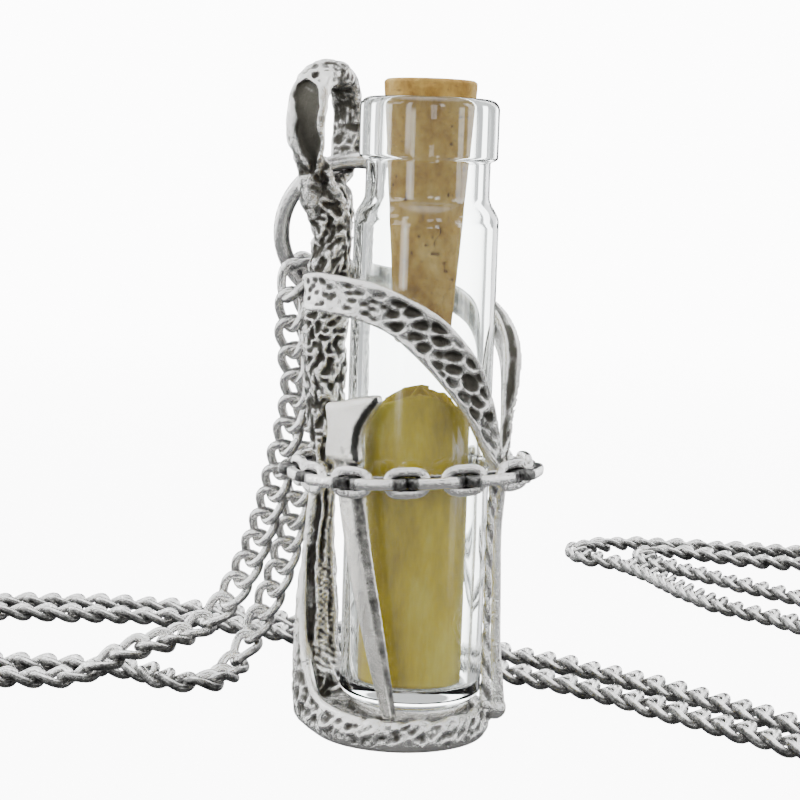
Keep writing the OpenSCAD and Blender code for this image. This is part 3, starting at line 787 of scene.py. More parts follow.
# %% Cage: post
POST = [
    (0.000, -0.02, 0.90, 0.60), (0.006, -0.08, 1.40, 0.95), (0.014, -0.12, 1.66, 1.10),
    (0.042, -0.08, 1.72, 1.14), (0.088, 0.00, 1.44, 1.10), (0.140, 0.06, 1.28, 1.02),
    (0.216, 0.07, 1.20, 0.98), (0.294, 0.06, 0.90, 0.82), (0.371, 0.04, 0.72, 0.67),
    (0.491, 0.00, 0.65, 0.60), (0.589, 0.06, 0.94, 0.90), (0.692, 0.08, 1.02, 1.00),
    (0.751, 0.07, 0.98, 1.02), (0.828, 0.03, 1.06, 0.94), (0.897, -0.03, 0.88, 0.87),
    (0.945, -0.05, 0.92, 0.85), (0.973, 0.02, 1.20, 0.90), (0.992, 0.08, 1.30, 0.92),
    (1.002, 0.12, 1.12, 0.74), (1.007, 0.14, 0.70, 0.44), (1.009, 0.14, 0.10, 0.06),
]
cage_height, post_height, post_wide, post_far = 56.2, 45.8, 3.4, 9.3
post_out = np.array([math.cos(math.radians(150)), math.sin(math.radians(150)), 0])
post_side = np.array([math.cos(math.radians(240)), math.sin(math.radians(240)), 0])


def veins(points, turn):
    """Bark from 0 in its hollows to 1 on its crests, which run mostly upright."""
    z, seed = points[..., 2], 51
    drift = 0.7 * field(put(0, 0, z), 3.0, seed + 1) + 0.25 * field(points, 1.2, seed + 4)
    place = np.stack([np.cos(turn + drift) * 1.7, np.sin(turn + drift) * 1.7, z * 0.42], -1)
    coarse = ridged(place, 0.8, seed)
    fine = ridged(place * (1, 1, 1.7), 0.42, seed + 2)
    return held(0.33 + 0.3 * coarse + 0.42 * fine)


# One row for each groove or ridge of the foot: direction round the post and half width in
# degrees, height (a groove has a height below 0) and lowest z in mm
SPLIT = [
    (54, 20, 0.14, 2), (98, 18, -0.5, 2), (123, 6, 0.22, 3), (143, 11, -0.4, 12.5), (172, 9, -0.2, 4),
]


def split_post():
    rows = smooth_rows(POST, 15)
    turn = np.radians(np.linspace(0, 360, 200, endpoint=False))[None]
    z = rows[:, :1] * post_height
    middle = post_out * (post_far + rows[:, 1:2] * post_wide) + np.array([0, 0, 1]) * z
    out_part = post_out * (rows[:, 3:4, None] * np.cos(turn)[..., None])
    side_part = post_side * (rows[:, 2:3, None] * np.sin(turn)[..., None])
    shape = (out_part + side_part) * post_wide / 2
    place = middle[:, None] + shape
    degrees = np.degrees(turn) + 6 * np.sin(z * 0.55) + 6 * field(place, 1.8, 57) + 4 * field(place, 0.6, 56)
    low = held((z - 2.4) / 2.0) * held((21.5 - z) / 3)
    split = sum(
        height * hump(degrees, where, wide, 4) * held((z - start) / 2.5)
        for where, wide, height, start in SPLIT
    )
    crests = veins(place, turn)
    flange = low * hump(degrees, 52, 26, 4)
    channel = low * hump(degrees, 98, 18, 4)
    hatch = np.sin(z * 11 + degrees * 0.2 + 2 * field(place, 0.8, 58)) * low * hump(degrees, 150, 38, 4)
    patches = np.clip(field(place * (1, 1, 0.45), 1.5, 59) * 1.6, -0.3, 1)
    size = np.linalg.norm(shape, axis=-1)
    swell = (crests - 0.45) * (1 - 0.7 * low) * 0.75 - 0.22 * held(patches) * (1 - low)
    change = swell * np.clip(z / 3, 0.2, 1) * np.minimum(size / 1.3, 1) + low * split + 0.05 * hatch
    tarnish = (1 - low) * (1.04 - 1.35 * crests ** 1.2 + 0.25 * patches)
    tarnish = tarnish + low * (0.16 - 0.6 * np.minimum(split, 0.12) - 0.42 * flange - 0.2 * hatch)
    tarnish = tarnish + (0.35 * field(place * (1, 1, 0.4), 0.6, 55) - 0.12) * channel
    grown = ((size + change) / np.maximum(size, 0.01))[..., None]
    return painted(skin(middle[:, None] + shape * grown), tarnish, 1 - 0.65 * flange)


def post_root(path, widths):
    """A branch that the eyelet sends down into the neck of the post."""
    rows = smooth_rows(np.column_stack([path, widths]), 14)
    shape = round_tube(rows[:, :3], rows[:, 3], 32)
    rough = ridged(shape[0], 0.6, 68)
    points = shape[0] + 0.22 * rough[:, None] * unit(shape[0] * (1, 1, 0))
    return painted((points, shape[1]), 0.62 - 0.7 * rough, 1.0)


cage_parts += [
    split_post(),
    post_root(
        [(-9.9, 3.2, 46.8), (-9.5, 3.7, 45.0), (-8.95, 4.2, 43.0), (-8.5, 4.6, 40.5)], [1.9, 2.5, 2.0, 1.2]
    ),
    post_root(
        [(-8.6, 2.5, 48.2), (-8.0, 2.6, 46.2), (-7.1, 3.3, 44.4), (-6.65, 4.1, 42.6), (-6.6, 4.5, 40.6)],
        [0.5, 0.7, 0.9, 0.8, 0.5]
    ),
]
print("post", post_height, "mm high")

# %% [markdown]
# The eyelet is a tall loop bent from the top of the post. Its near limb is wide, smooth and a
# little dished, so a dark band of the room runs down its middle. That band is also painted
# into the dish as a painted reflection, with painted highlights at its top and on the shoulder
# above it. The far limb is narrower and finely textured.

# %% Cage: eyelet
EYELET = [  # thickness and width as shares, every 45 degrees from the far limb over the top to the near one
    (1.0, 0.86), (1.1, 0.92), (1.7, 1.0), (1.25, 1.05), (1.0, 1.1), (0.95, 0.70), (1.25, 0.58), (1.05, 0.70),
]
eyelet_z, eyelet_half_wide, eyelet_half_high, limb_wide, limb_thick = 50.45, 3.3, 5.1, 1.7, 0.65
upwards = np.array([0, 0, 1])


def eyelet_loop():
    rows = smooth_rows(EYELET, 30, closed=True)
    a = full_turn(len(rows))
    degrees = np.degrees(a)[:, None]
    along = np.array([0.5, 0.8660254, 0])
    middle = post_out * (post_far + post_wide * 0.2) + upwards * eyelet_z
    spots = middle + along * (eyelet_half_wide * np.cos(a) * (1 + 0.12 * np.sin(a)))[:, None]
    spots = spots + upwards * (eyelet_half_high * np.sin(a))[:, None]
    outward = along * np.cos(a)[:, None] + upwards * np.sin(a)[:, None]
    turn = full_turn(96)
    sections = np.stack([
        rows[:, 1:2] * limb_wide * squarish(np.cos(turn), 0.8)[None],
        rows[:, 0:1] * limb_thick * squarish(np.sin(turn), 0.8)[None] - (rows[:, 0:1] - 1) * limb_thick,
    ], -1)
    outer = held(np.sin(turn) * 1.5)[None]
    side = np.cos(turn)[None]
    band_middle = np.interp(degrees, (130, 150, 180, 210, 235), (-0.02, 0.02, 0.22, 0.3, 0.35))
    band_half = np.interp(
        degrees, (132, 139, 150, 185, 198, 213, 226), (0.05, 0.42, 0.5, 0.54, 0.46, 0.27, 0.08)
    )
    near = held((degrees - 118) / 14) * held((262 - degrees) / 30)
    wander = 0.34 * field(put(spots[:, 2:3], 2.0 * side, 0), 0.9, 69)
    off = (side - band_middle + 0.5 * wander) / band_half
    dish = near * outer * np.exp(-off ** 6) * (band_half > 0.1)
    sections[..., 1] -= 0.4 * dish
    sections[..., 1] += 0.16 * near * outer * hump(np.abs(off), 1.3, 0.28)
    rings = across(spots, outward, sections, closed=True)
    rough = 0.6 * ridged(rings, 0.62, 61) + 0.4 * ridged(rings, 0.34, 62) - 0.3
    low = held(-np.sin(a) * 2 - 0.3)[:, None]
    worked = np.clip(np.maximum(1 - near, low), 0.12, 1) * (1 - dish)
    lumps = 0.12 * field(rings, 1.3, 63) + 0.07 * field(rings, 0.6, 64)
    crest = 0.34 * np.exp(-((degrees - 103 + 22 * side) / 6) ** 2) * outer
    crest = crest + 0.3 * np.exp(-((side - 0.8) / 0.14) ** 2 - ((degrees - 132) / 16) ** 2) * outer
    notch = np.exp(-((((degrees - 126) / 5) ** 2 + ((side - 0.16) / 0.15) ** 2)) ** 2) * outer
    pools = held(field(rings, 1.3, 66) * 2.2 - 0.25) * held((np.sin(a)[:, None] + 0.5) * 1.5) * (1 - near)
    normal = unit(rings - spots[:, None])
    relief = 0.15 * worked * rough + lumps * (1 - 0.7 * dish) + crest - 0.5 * notch - 0.16 * pools
    rings = rings + normal * relief[..., None]
    # The shoulder above the dish is lightened as a painted highlight. The dish is painted black as a painted
    # reflection of the dark room, on top of the one its shape gives, and a painted highlight lightens the
    # dish's top.
    top = outer * hump(degrees, 125, 25) * (1 - dish)
    painted_highlight = dish * hump(degrees - 141, 9 * side, 5)
    tarnish = 1.0 * dish - 0.6 * painted_highlight + 1.2 * notch - 0.8 * crest + worked * (0.5 - 0.6 * rough)
    tarnish = tarnish + 0.2 * pools + 2.2 * held(wander) * near * (1 - dish) - 0.4 * top
    return painted(skin(rings, closed=True), tarnish, held(0.5 + 0.5 * worked))


cage_parts.append(eyelet_loop())
print("eyelet in", len(EYELET), "rows")

# %% [markdown]
# The sash is a band that comes off the post, crosses the front of the vial and runs down to the
# strut. Both its edges are raised and bright. Between them the wax was pressed with a small
# round tool, close together, so the dents meet in sharp ridges: shallow ovals at the left, deep
# scales from the middle on. A second strand goes up from its low end and round the back.

# %% Cage: sash and strand
SASH = [
    (162, 0.655, 0.95, 0.40, 0.90), (169, 0.657, 0.88, 0.74, 1.10), (180, 0.658, 0.70, 0.86, 1.15),
    (196, 0.660, 0.48, 0.88, 1.10), (217, 0.657, 0.27, 0.88, 1.00), (238, 0.648, 0.06, 0.90, 1.00),
    (256, 0.632, 0.00, 0.90, 1.00), (273, 0.608, 0.00, 1.00, 1.00), (287, 0.580, 0.00, 1.02, 1.00),
    (299, 0.551, 0.00, 1.00, 1.00), (307, 0.527, 0.01, 0.92, 0.98), (314, 0.502, 0.03, 0.82, 0.96),
    (320, 0.476, 0.05, 0.72, 0.95), (326, 0.450, 0.07, 0.60, 0.95), (333, 0.428, 0.09, 0.48, 0.95),
    (338, 0.416, 0.10, 0.40, 1.00),
]
STRAND = [
    (339, 0.418, 0.11, 0.40, 1.00), (352, 0.443, 0.13, 0.36, 1.00), (360, 0.484, 0.16, 0.42, 1.15),
    (364, 0.521, 0.20, 0.50, 1.40), (370, 0.553, 0.24, 0.60, 1.50), (379, 0.583, 0.26, 0.66, 1.45),
    (391, 0.612, 0.22, 0.66, 1.30), (403, 0.632, 0.16, 0.66, 1.15), (424, 0.652, 0.05, 0.62, 1.00),
    (450, 0.669, 0.01, 0.54, 0.95), (482, 0.680, 0.06, 0.50, 0.95), (500, 0.684, 0.30, 0.54, 0.95),
    (509, 0.686, 0.58, 0.54, 0.90),
]
SASH_EDGE = [
    (0.50, 0.00), (0.48, 0.36), (0.40, 0.50), (0.30, 0.40), (0.00, 0.34), (-0.30, 0.40), (-0.40, 0.50),
    (-0.48, 0.36), (-0.50, 0.00), (-0.42, -0.42), (0.00, -0.48), (0.42, -0.42),
]
sash_far, sash_wide, sash_thick = 6.85, 3.7, 1.1


def band(rows, face_relief, grooved=0.0):
    run = smooth_rows(rows, 22)
    path = round_the_vial(np.stack([run[:, 0], run[:, 1] * cage_height, sash_far + run[:, 2] * post_wide], 1))
    edge = smooth_rows(SASH_EDGE, 10, closed=True)
    wide, thick = run[:, 3:4] * sash_wide, run[:, 4:5] * sash_thick
    side = edge[None, :, 0] * wide
    face = edge[None, :, 1] * thick
    gone = np.concatenate([[0], np.cumsum(np.linalg.norm(np.diff(path, axis=0), axis=1))])[:, None]
    front = held(edge[None, :, 1] / 0.3)
    rim = held(np.abs(edge[None, :, 0]) / 0.5 * 4 - 2.6)
    depth, tarnish = face_relief(gone / gone[-1], gone + 0 * side, side, rim)
    out = round_the_vial(np.stack([run[:, 0], 0 * run[:, 0], 1 + 0 * run[:, 0]], 1))
    in_front = held((0.6 - gone / gone[-1]) / 0.1) * held(gone / 2 - 0.5)
    near_edge = grooved * held(edge[None, :, 0] / 0.06 - 6.5) * in_front
    groove = near_edge * hump(edge[None, :, 1], 0, 0.3, 4)
    streak = 0.8 + field(put(gone * 0.3, side, face), 0.35, 87)
    shell = skin(across(path, out, np.stack([side - 0.2 * groove, face - front * depth], -1)))
    tarnish = front * tarnish + (1 - front) * (0.05 + 0.3 * grooved * streak)
    tarnish = tarnish + 0.35 * groove * (1 + field(put(gone, side, face), 0.7, 82))
    return painted(shell, tarnish - 0.25 * (near_edge - groove), 0.6 - 0.2 * rim)


def pressed_scales(share, gone, side, rim):
    spots = np.stack([gone, side], -1)
    rough = put(gone, side, 0)
    scales = dents(spots + 0.16 * field(rough, 0.8, 78)[..., None], 1.36, 71, 0.36, (1.25, 0.74), 0.6)
    ovals = held(dents(spots, 1.05, 75, 0.42, (1.3, 0.62), 0.15) * 1.7 - 0.75)
    right = held((share - 0.36) / 0.1)
    low_end = np.clip((1 - share) / 0.2, 0.3, 1)
    pressed = (right * scales * low_end + (1 - right) * ovals) * (1 - 0.85 * rim)
    uneven = 0.08 * field(rough, 0.5, 77) + 0.07 * field(rough, 1.4, 76)
    depth = pressed * (0.2 + 0.3 * right) - (1 - rim) * uneven
    return depth, (0.45 + 0.5 * field(rough, 0.9, 74) * right) * pressed - 0.03 + 0.04 * right - 0.35 * rim


def strand_hollow(share, gone, side, rim):
    front_part = held((0.6 - share) / 0.1)
    rough = put(gone, side, 0)
    crests = ridged(rough, 0.6, 79)
    depth = (1 - rim) * (0.16 + 0.22 * front_part - 0.12 * crests - 0.04 * field(rough, 0.3, 80))
    return depth, (0.4 + 0.2 * front_part) * (1 - rim) - 0.25 * rim - 0.35 * crests * (1 - rim)


cage_parts += [band(SASH, pressed_scales), band(STRAND, strand_hollow, 1.0)]
print("sash and strand")

# %% [markdown]
# Two thin ribs carry the low end of the sash down to the rim, close to the glass. The left one
# is cut like a rope with slanting lines, and the right one is plain and bright.

# %% Cage: strut
LEFT_RIB = [
    (-23, 1.00, 0.70, 1.3), (-24, 0.90, 0.20, 0.9), (-25, 0.72, 0.06, 0.8), (-24, 0.50, 0.06, 0.8),
    (-25, 0.30, 0.20, 0.9), (-29, 0.13, 0.60, 1.3)
]
RIGHT_RIB = [
    (-19, 1.00, 0.80, 1.3), (-12, 0.90, 0.45, 1.1), (-9, 0.76, 0.22, 1.0), (-8, 0.50, 0.36, 1.0),
    (-7, 0.28, 0.60, 1.1), (-5, 0.12, 0.90, 1.5)
]
rib_wide, rib_top = 0.85, cage_height * 0.417


def rib(rows, relief, tarnish, bark_share):
    run = smooth_rows(rows, 40)
    path = round_the_vial(np.stack([run[:, 0], run[:, 1] * rib_top, 6.725 + run[:, 2] * rib_wide], 1))
    i, turn = np.arange(len(path))[:, None], full_turn(28)[None]
    shell = round_tube(path, run[:, 3] * rib_wide, 28, relief)
    return painted(shell, tarnish - 2.0 * relief(i, turn), bark_share)


def rope(i, turn):
    return 0.15 * np.sin(i * 0.34 + turn * 2)


def slow_wave(i, turn):
    return 0.04 * np.sin(i * 0.11 + turn)


cage_parts += [rib(LEFT_RIB, rope, 0.34, 1.0), rib(RIGHT_RIB, slow_wave, 0.14, 1.0)]
print("two ribs,", round(rib_top, 1), "mm high")

# %% [markdown]
# The remesh lays one even skin over all the parts. A light smoothing takes the steps out of it
# and leaves the relief, and the hollows are measured on the result.

# %% Cage: one skin
def fuse(piece, voxel, smoothing, rounds):
    """Joins overlapping shells into one even skin."""
    bpy.context.view_layer.objects.active = piece
    remesh = piece.modifiers.new("one_skin", "REMESH")
    remesh.mode, remesh.voxel_size, remesh.use_smooth_shade = "VOXEL", voxel * MM, True
    soft = piece.modifiers.new("soft", "SMOOTH")
    soft.factor, soft.iterations = smoothing, rounds
    made = bpy.data.meshes.new_from_object(piece.evaluated_get(bpy.context.evaluated_depsgraph_get()))
    piece.modifiers.clear()
    old, piece.data = piece.data, made
    bpy.data.meshes.remove(old)
    made.polygons.foreach_set("use_smooth", [True] * len(made.polygons))
    return piece


def carry_marks(piece, points, marks, names):
    """Gives each point of a fused piece the mean of the three marked points nearest to it."""
    tree = KDTree(len(points))
    for i, point in enumerate(points * MM):
        tree.insert(point, i)
    tree.balance()
    near = np.array([[i for _, i, _ in tree.find_n(v.co, 3)] for v in piece.data.vertices])
    keep_marks(piece, **dict(zip(names, marks[near].mean(1).T)))


points, faces = join_skins(*[(points, faces) for points, faces, _ in cage_parts])
cage = fuse(new_piece("cage_cast", points, faces, cast_silver), 0.14, 0.4, 2)
measure_hollows(cage, [(3, 0.02), (12, 0.06), (60, 0.25)])
carry_marks(cage, points, np.concatenate([marks for _, _, marks in cage_parts]), ("tarnish", "bark"))
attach(cage, "pendant")
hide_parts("cage")
print("cage skin with", len(cage.data.polygons), "faces")

# %% [markdown]
# The hatchet is polished smooth, the one calm face on the front. Its head is a flat plate with
# rounded edges, made by stacking outlines that shrink towards the front. Its handle narrows on
# its way down to the rim. The right side of head and handle is cut at a slant, and painted
# darker there as painted shade, since that side turns away from the light.

# %% Hatchet
AXE_HEAD = [
    (-0.56, 0.00), (0.07, 0.00), (0.08, 0.23), (0.13, 0.48), (0.27, 0.68), (0.46, 0.87), (0.48, 0.94),
    (0.41, 1.00), (0.00, 0.93), (-0.36, 0.84), (-0.62, 0.77), (-0.57, 0.43),
]
HANDLE = [
    (211, 1.08, 1.25), (212.5, 0.97, 1.3), (218.5, 0.85, 1.34), (229, 0.615, 1.12), (240, 0.38, 0.9),
    (250, 0.148, 0.66), (256.5, 0.00, 0.5)
]
HEAD_LAYERS = [  # share of the head's thickness, and how far its outline is drawn in there, in mm
    (0.0, 0.3), (0.03, 0.08), (0.15, 0.0), (0.5, 0.0), (0.7, 0.05), (0.86, 0.16), (0.95, 0.32), (1.0, 0.55),
]
axe_far, axe_thick, head_low, rim_high, handle_wide = 6.8, 1.0, 23.4, 2.85, 2.2


def hatchet_head():
    outline = smooth_rows(AXE_HEAD, 8, closed=True) * (5.9, 5.8)
    inward = unit(np.roll(outline, -1, 0) - np.roll(outline, 1, 0))[:, ::-1] * (-1, 1)
    turn = math.radians(221)
    out = np.array([math.cos(turn), math.sin(turn), 0])
    side = np.array([-math.sin(turn), math.cos(turn), 0])
    # The right edge of the head is painted darker: painted shade, as that side turns away from the light.
    shaded_bevel = held(-inward[:, 0] * 1.5 - 0.3)
    layers, marks = [], []
    for depth, inset in HEAD_LAYERS:
        flat = outline + inward * inset
        level = out * (axe_far - axe_thick / 2 + depth * axe_thick)
        layers.append(level + side * flat[:, :1] + upwards * (head_low + flat[:, 1:]))
        marks.append(0.9 * shaded_bevel * (inset > 0.0) * (inset < 0.5) * (depth > 0.4))
    shell = skin(np.array(layers))
    points = shell[0] + out * 0.05 * field(shell[0], 1.7, 83)[:, None]
    return painted((points, shell[1]), np.ravel(marks) + 0.1 * field(shell[0], 1.2, 84), 0.25)


def hatchet_handle():
    run = smooth_rows(HANDLE, 14)
    path = round_the_vial(put(run[:, 0], rim_high + run[:, 1] * (head_low - rim_high), axe_far))
    turn = full_turn(32)
    boxy = np.stack([squarish(np.cos(turn), 0.65), squarish(np.sin(turn), 0.8)], -1)
    sections = (
        boxy[None] * np.stack([run[:, 2] * handle_wide / 2, 0 * run[:, 0] + axe_thick / 2], -1)[:, None]
    )
    shaded_bevel = held((boxy[:, 0] - 0.42) / 0.1) * (boxy[:, 1] > -0.5)
    sections[..., 1] -= 0.42 * axe_thick * held((boxy[:, 0] - 0.42) / 0.58) * (boxy[:, 1] > -0.1)
    out = unit(path * (1, 1, 0))
    points, faces = skin(across(path, out, sections))
    points = points + 0.05 * field(points * (1, 1, 0.5), 1.5, 85)[:, None] * unit(points * (1, 1, 0))
    # The slanted right side of the handle is painted darker as painted shade.
    shade = np.tile(0.42 * shaded_bevel, len(path)) * (points[:, 2] < head_low)
    return painted((points, faces), shade + 0.1 * field(points, 1.2, 86), 0.25)


hatchet_parts = [hatchet_head(), hatchet_handle()]
points, faces = join_skins(*[(points, faces) for points, faces, _ in hatchet_parts])
hatchet = fuse(new_piece("hatchet_polished", points, faces, polished_silver), 0.09, 0.5, 4)
measure_hollows(hatchet, [(12, 0.05)])
carry_marks(hatchet, points, np.concatenate([marks for _, _, marks in hatchet_parts]), ("tarnish", "bark"))
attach(hatchet, "pendant")
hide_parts("axe")
print("hatchet with", len(hatchet.data.polygons), "faces")

# %% [markdown]
# The girdle is a loop of small cast links, standing and lying in turn. The CAD loop has its
# links in the right places as coarse rings, so each of them is found as a loose part, its
# middle and its axes are measured, and a finer link with faceted wire is set in its place.

# %% Girdle chain
def loose_parts(name):
    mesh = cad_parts[name].data
    co = np.array([v.co for v in mesh.vertices]) / MM
    key, spot = np.unique(np.round(co, 3), axis=0, return_inverse=True)
    spot = spot.ravel()
    parent = list(range(len(key)))

    def top(i):
        while parent[i] != i:
            parent[i] = parent[parent[i]]
            i = parent[i]
        return i

    for edge in mesh.edges:
        a, b = top(spot[edge.vertices[0]]), top(spot[edge.vertices[1]])
        parent[a] = b
    groups = {}
    for i in range(len(key)):
        groups.setdefault(top(i), []).append(key[i])
    return [np.array(g) for g in groups.values()]


def cast_link(seed, lying):
    """A racetrack ring of faceted wire: length along X, width along Y."""
    steps, corners, long, wide, wire = 44, 16, 5.0 if lying else 3.95, 2.66, 0.84
    a = full_turn(steps)
    bend, straight = (wide - wire) / 2, (long - wide) / 2
    spots = np.stack([bend * np.cos(a) + straight * np.tanh(np.cos(a) * 3), bend * np.sin(a), 0 * a], 1)
    outward = np.stack([np.cos(a), np.sin(a), 0 * a], 1)
    turn = full_turn(corners)
    shape = 0.5 * wire * np.stack([squarish(np.cos(turn), 0.6), squarish(np.sin(turn), 0.6)], -1)
    sections = np.repeat(shape[None], steps, 0)
    sections[..., 0] *= 1.1 if lying else 0.86
    uneven = 0.05 * field(put(spots[:, 0] + seed * 9, spots[:, 1], spots[:, 2]), 0.8, 81)
    sections = sections * (1 + uneven)[:, None, None]
    shell = skin(across(spots, outward, sections, closed=True), closed=True)
    inner = held(-np.sin(turn) * 1.6 - 0.3)[None]
    # A lying link's ends sit inside the standing links and are painted dark: painted shade on top of the
    # black patina.
    ends_from = 1.25 if lying else 9  # an upright link has no dark ends
    ends = held((np.abs(spots[:, :1]) - ends_from) / 0.25)
    return painted(shell, 0.6 * np.maximum(inner, ends), 0.4)


def way_round(part):
    """The direction in which a link lies from the vial's axis."""
    return math.atan2(part[:, 1].mean(), part[:, 0].mean())


link_skins, link_marks = [], []
for seed, part in enumerate(sorted(loose_parts("girdle_chain"), key=way_round)):
    middle = part.mean(0)
    axes = np.linalg.svd(part - middle, full_matrices=False)[2]
    points, faces, marks = cast_link(seed, abs(axes[2, 2]) > 0.7)
    if np.linalg.det(axes) < 0:
        axes = axes * np.array([[1], [1], [-1]])
    link_skins.append((middle + points @ axes, faces))
    link_marks.append(marks)
girdle = new_piece("girdle_links", *join_skins(*link_skins), link_silver)
measure_hollows(girdle, [(4, 0.12)])
keep_marks(girdle, **dict(zip(("tarnish", "bark"), np.concatenate(link_marks).T)))
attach(girdle, "pendant")
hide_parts("girdle_chain")
print(len(link_skins), "girdle links")

# %% [markdown]
# The jump ring is plain round wire. It only needs enough facets and fine scratches round it.

# %% Jump ring
def jump_ring():
    offset, radius, wire, turn_z, lean_x = -2.7, 6.3, 1.4, math.radians(8), math.radians(104)
    eyelet = post_out * (post_far + post_wide * 0.2)
    hang = np.array([eyelet[0], eyelet[1] + 0.42, eyelet_z - eyelet_half_high + 1.3 * 0.8 + wire / 2 + 0.32])
    a = full_turn(180)
    way = np.stack([np.cos(a), np.sin(a), 0 * a], 1)
    turn = full_turn(32)
    rings = way[:, None] * (radius + wire / 2 * np.cos(turn))[None, :, None]
    rings = rings + upwards * (wire / 2 * np.sin(turn))[None, :, None]
    rings = rings * (1 + 0.0012 * field(rings, 1.1, 91))[..., None]
    rings = rings + np.array([-offset, -math.sqrt(radius ** 2 - offset ** 2), 0])
    c, s = math.cos(lean_x), math.sin(lean_x)
    rings = rings @ np.array([[1, 0, 0], [0, c, -s], [0, s, c]]).T
    c, s = math.cos(turn_z), math.sin(turn_z)
    rings = rings @ np.array([[c, -s, 0], [s, c, 0], [0, 0, 1]]).T
    return skin(rings + hang, closed=True)


ring = new_piece("jump_ring_wire", *jump_ring(), link_silver)
measure_hollows(ring, [(2, 0.08)])
ring_inside = np.tile(held(-np.cos(full_turn(32)) * 1.4 - 0.3), 180)
keep_marks(ring, tarnish=0.5 * ring_inside - 0.05, bark=np.full(len(ring.data.vertices), 0.35))
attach(ring, "pendant")
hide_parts("jump_ring")

# %% [markdown]
# The neck chain is a curb chain: oval wire links, each twisted so that the chain lies flat. A
# link's middle line goes up and down twice on its way round, which is what lets it pass through
# the next one at a slant. The links are set one after another along a smooth curve through the
# chain's route, flat to the table where they lie and facing the front where they hang.

# %% Neck chain: route
CHAIN_ROUTE = np.array([
    [-10.3, 7.2, 39], [-11, 6, 38.3], [-11.3, 5.6, 36.8], [-11.3, 6.6, 32.4], [-10.9, 8.4, 27.8],
    [-12.1, 11.1, 21.8], [-13.6, 13.8, 15.8], [-15.7, 16.2, 10], [-18, 16.6, 6.2], [-20.6, 14.8, 4.4],
    [-23.2, 11.8, 4], [-26.6, 10.2, 3.2], [-31.4, 9.7, 1.25], [-47, 10, 1.25], [-54, 13, 1.25],
    [-57.6, 18.6, 1.25], [-57.8, 26, 1.25], [-55, 32.6, 1.25], [-50, 37.4, 1.25], [-41, 40.4, 1.25],
    [-27, 40.8, 1.25], [-15.6, 36.8, 1.25], [-1, 30.6, 1.25], [12, 23.2, 1.25], [22.6, 14.4, 1.25],
    [33, 2.8, 1.25], [38.4, -3, 1.25], [43.6, -5, 1.25], [47.8, -2.2, 1.25], [49.6, 4, 1.25],
    [45, 32, 1.25], [40.4, 43.8, 1.25], [34.6, 50.6, 1.25], [31, 58.6, 1.25], [28.4, 67, 1.25],
    [25.4, 73.6, 1.25], [21.4, 77.4, 1.25], [20.4, 82, 1.25], [23.6, 86.2, 1.25], [30, 88, 1.25],
    [46, 86.4, 1.25], [60.6, 84, 1.25], [62.6, 80, 1.25], [59.4, 77.4, 1.25], [48, 78, 1.25],
    [40.4, 79.6, 1.25], [34.6, 83, 1.25], [29.4, 82, 1.25], [28.8, 76.8, 1.25], [33, 70.6, 1.25],
    [39, 62.6, 1.25], [45, 55, 1.25], [49.6, 46, 1.25], [53.4, 31, 1.25], [53.8, 0, 1.25],
    [50.2, -8.2, 1.25], [43.8, -10.8, 1.25], [37, -8.8, 1.25], [30, -1.8, 1.25], [15, 13.4, 1.25],
    [-1, 23.8, 1.25], [-13, 30.6, 1.25], [-25, 35.4, 1.25], [-42, 35.4, 1.25], [-50, 32.4, 1.25],
    [-53, 26.4, 1.25], [-51.6, 19.8, 1.25], [-46, 15, 1.25], [-30, 14.2, 1.25], [-25.2, 13.4, 1.25],
    [-21.4, 9.9, 1.25], [-18, 10.6, 1.25], [-16.2, 15, 1.8], [-14.2, 17.9, 5.4], [-12.2, 17, 11],
    [-10.9, 14.4, 17.6], [-10, 12.3, 25], [-9.8, 10.8, 32], [-10.1, 9.9, 36], [-10.2, 8.9, 38.2],
])


def even_loop(points, count):
    """Points at even steps along a smooth closed curve, with its length."""
    fine = smooth_rows(points, 40, closed=True)
    step = np.linalg.norm(np.roll(fine, -1, 0) - fine, axis=1)
    gone = np.concatenate([[0], np.cumsum(step)])
    want = np.arange(count) * gone[-1] / count
    closed = np.concatenate([fine, fine[:1]])
    return np.stack([np.interp(want, gone, closed[:, k]) for k in range(3)], 1), gone[-1]


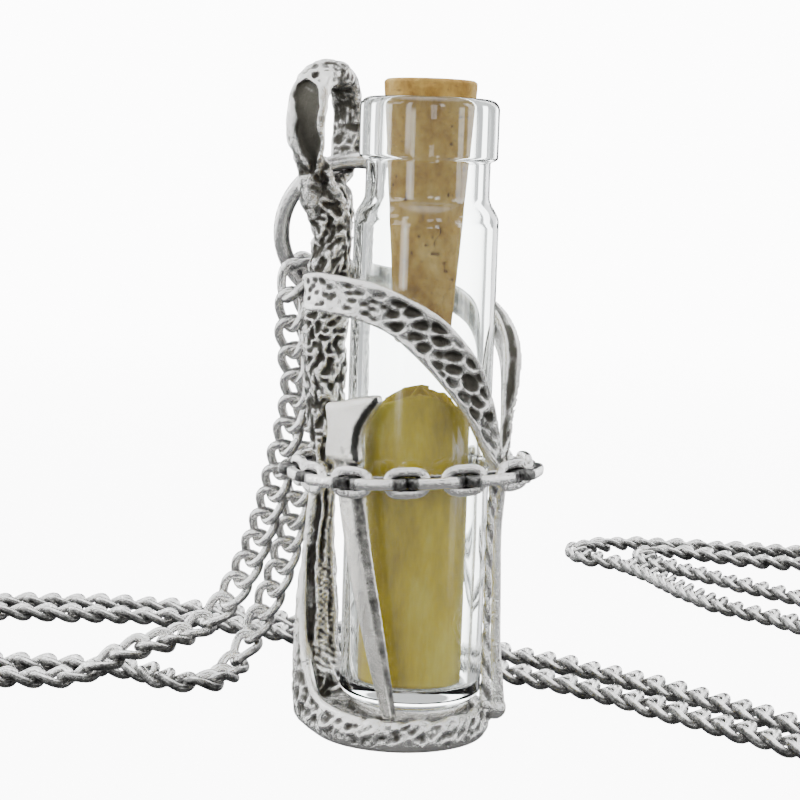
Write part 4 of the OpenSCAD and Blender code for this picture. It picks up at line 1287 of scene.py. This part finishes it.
ring_wire_spot = np.array([-10.5, 7.7, 37.3])  # where the chain hangs on the ring
link_count = 284
link_middles, chain_length = even_loop(CHAIN_ROUTE, link_count)
link_middles[:, 2] -= 0.25 * held((4 - link_middles[:, 2]) / 2.5)
print(f"chain of {link_count} links, {chain_length:.0f} mm long,")
print(f"and {chain_length / link_count:.2f} mm from link to link")

# %% Neck chain: links
def curb_links():
    steps, corners, wire = 28, 12, 0.82
    long, wide, twist = 1.67, 1.1, 0.43
    t = full_turn(steps)
    line = np.stack([long * np.cos(t), wide * np.sin(t), twist * np.sin(2 * t)], 1)
    turn = full_turn(corners)
    ring = 0.5 * wire * np.stack([np.cos(turn), np.sin(turn)], -1)
    flat_way = np.array([[0, 0, 1.0]]) + 0 * line
    points, faces = skin(across(line, flat_way, np.repeat(ring[None], steps, 0), closed=True), closed=True)
    way = headings(link_middles, closed=True)
    hang = held((link_middles[:, 2] - 2) / 7)[:, None]
    up = unit(np.array([0, 0, 1.0]) * (1 - hang) + unit(np.array([-0.3, -1.0, 0.2])) * hang)
    over_ring = held((link_middles[:, 2] - 35.5) / 1.5)[:, None]
    up = unit(up * (1 - over_ring) + unit(link_middles - ring_wire_spot) * over_ring)
    rng = np.random.default_rng(7)
    roll = rng.normal(0, 0.06, link_count)[:, None]
    side = unit(np.cross(up, way))
    up = np.cross(way, side)
    side, up = side * np.cos(roll) + up * np.sin(roll), up * np.cos(roll) - side * np.sin(roll)
    axes = np.stack([way, side, up], 1)
    return join_skins(*[(link_middles[i] + points @ axes[i], faces) for i in range(link_count)])


neck = new_piece("neck_chain_links", *curb_links(), link_silver)
link_inside = np.tile(held(-np.cos(full_turn(12)) * 1.5 - 0.2), 28 * link_count)
measure_hollows(neck, [(2, 0.12)])
keep_marks(neck, tarnish=0.55 * link_inside, bark=np.full(len(neck.data.vertices), 0.35))
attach(neck, "pendant")
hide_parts("neck_chain")
print("neck chain with", len(neck.data.polygons), "faces")

# %% [markdown]
# The visual model has to stay the size of the CAD model.

# %% End
print("the scene is built")
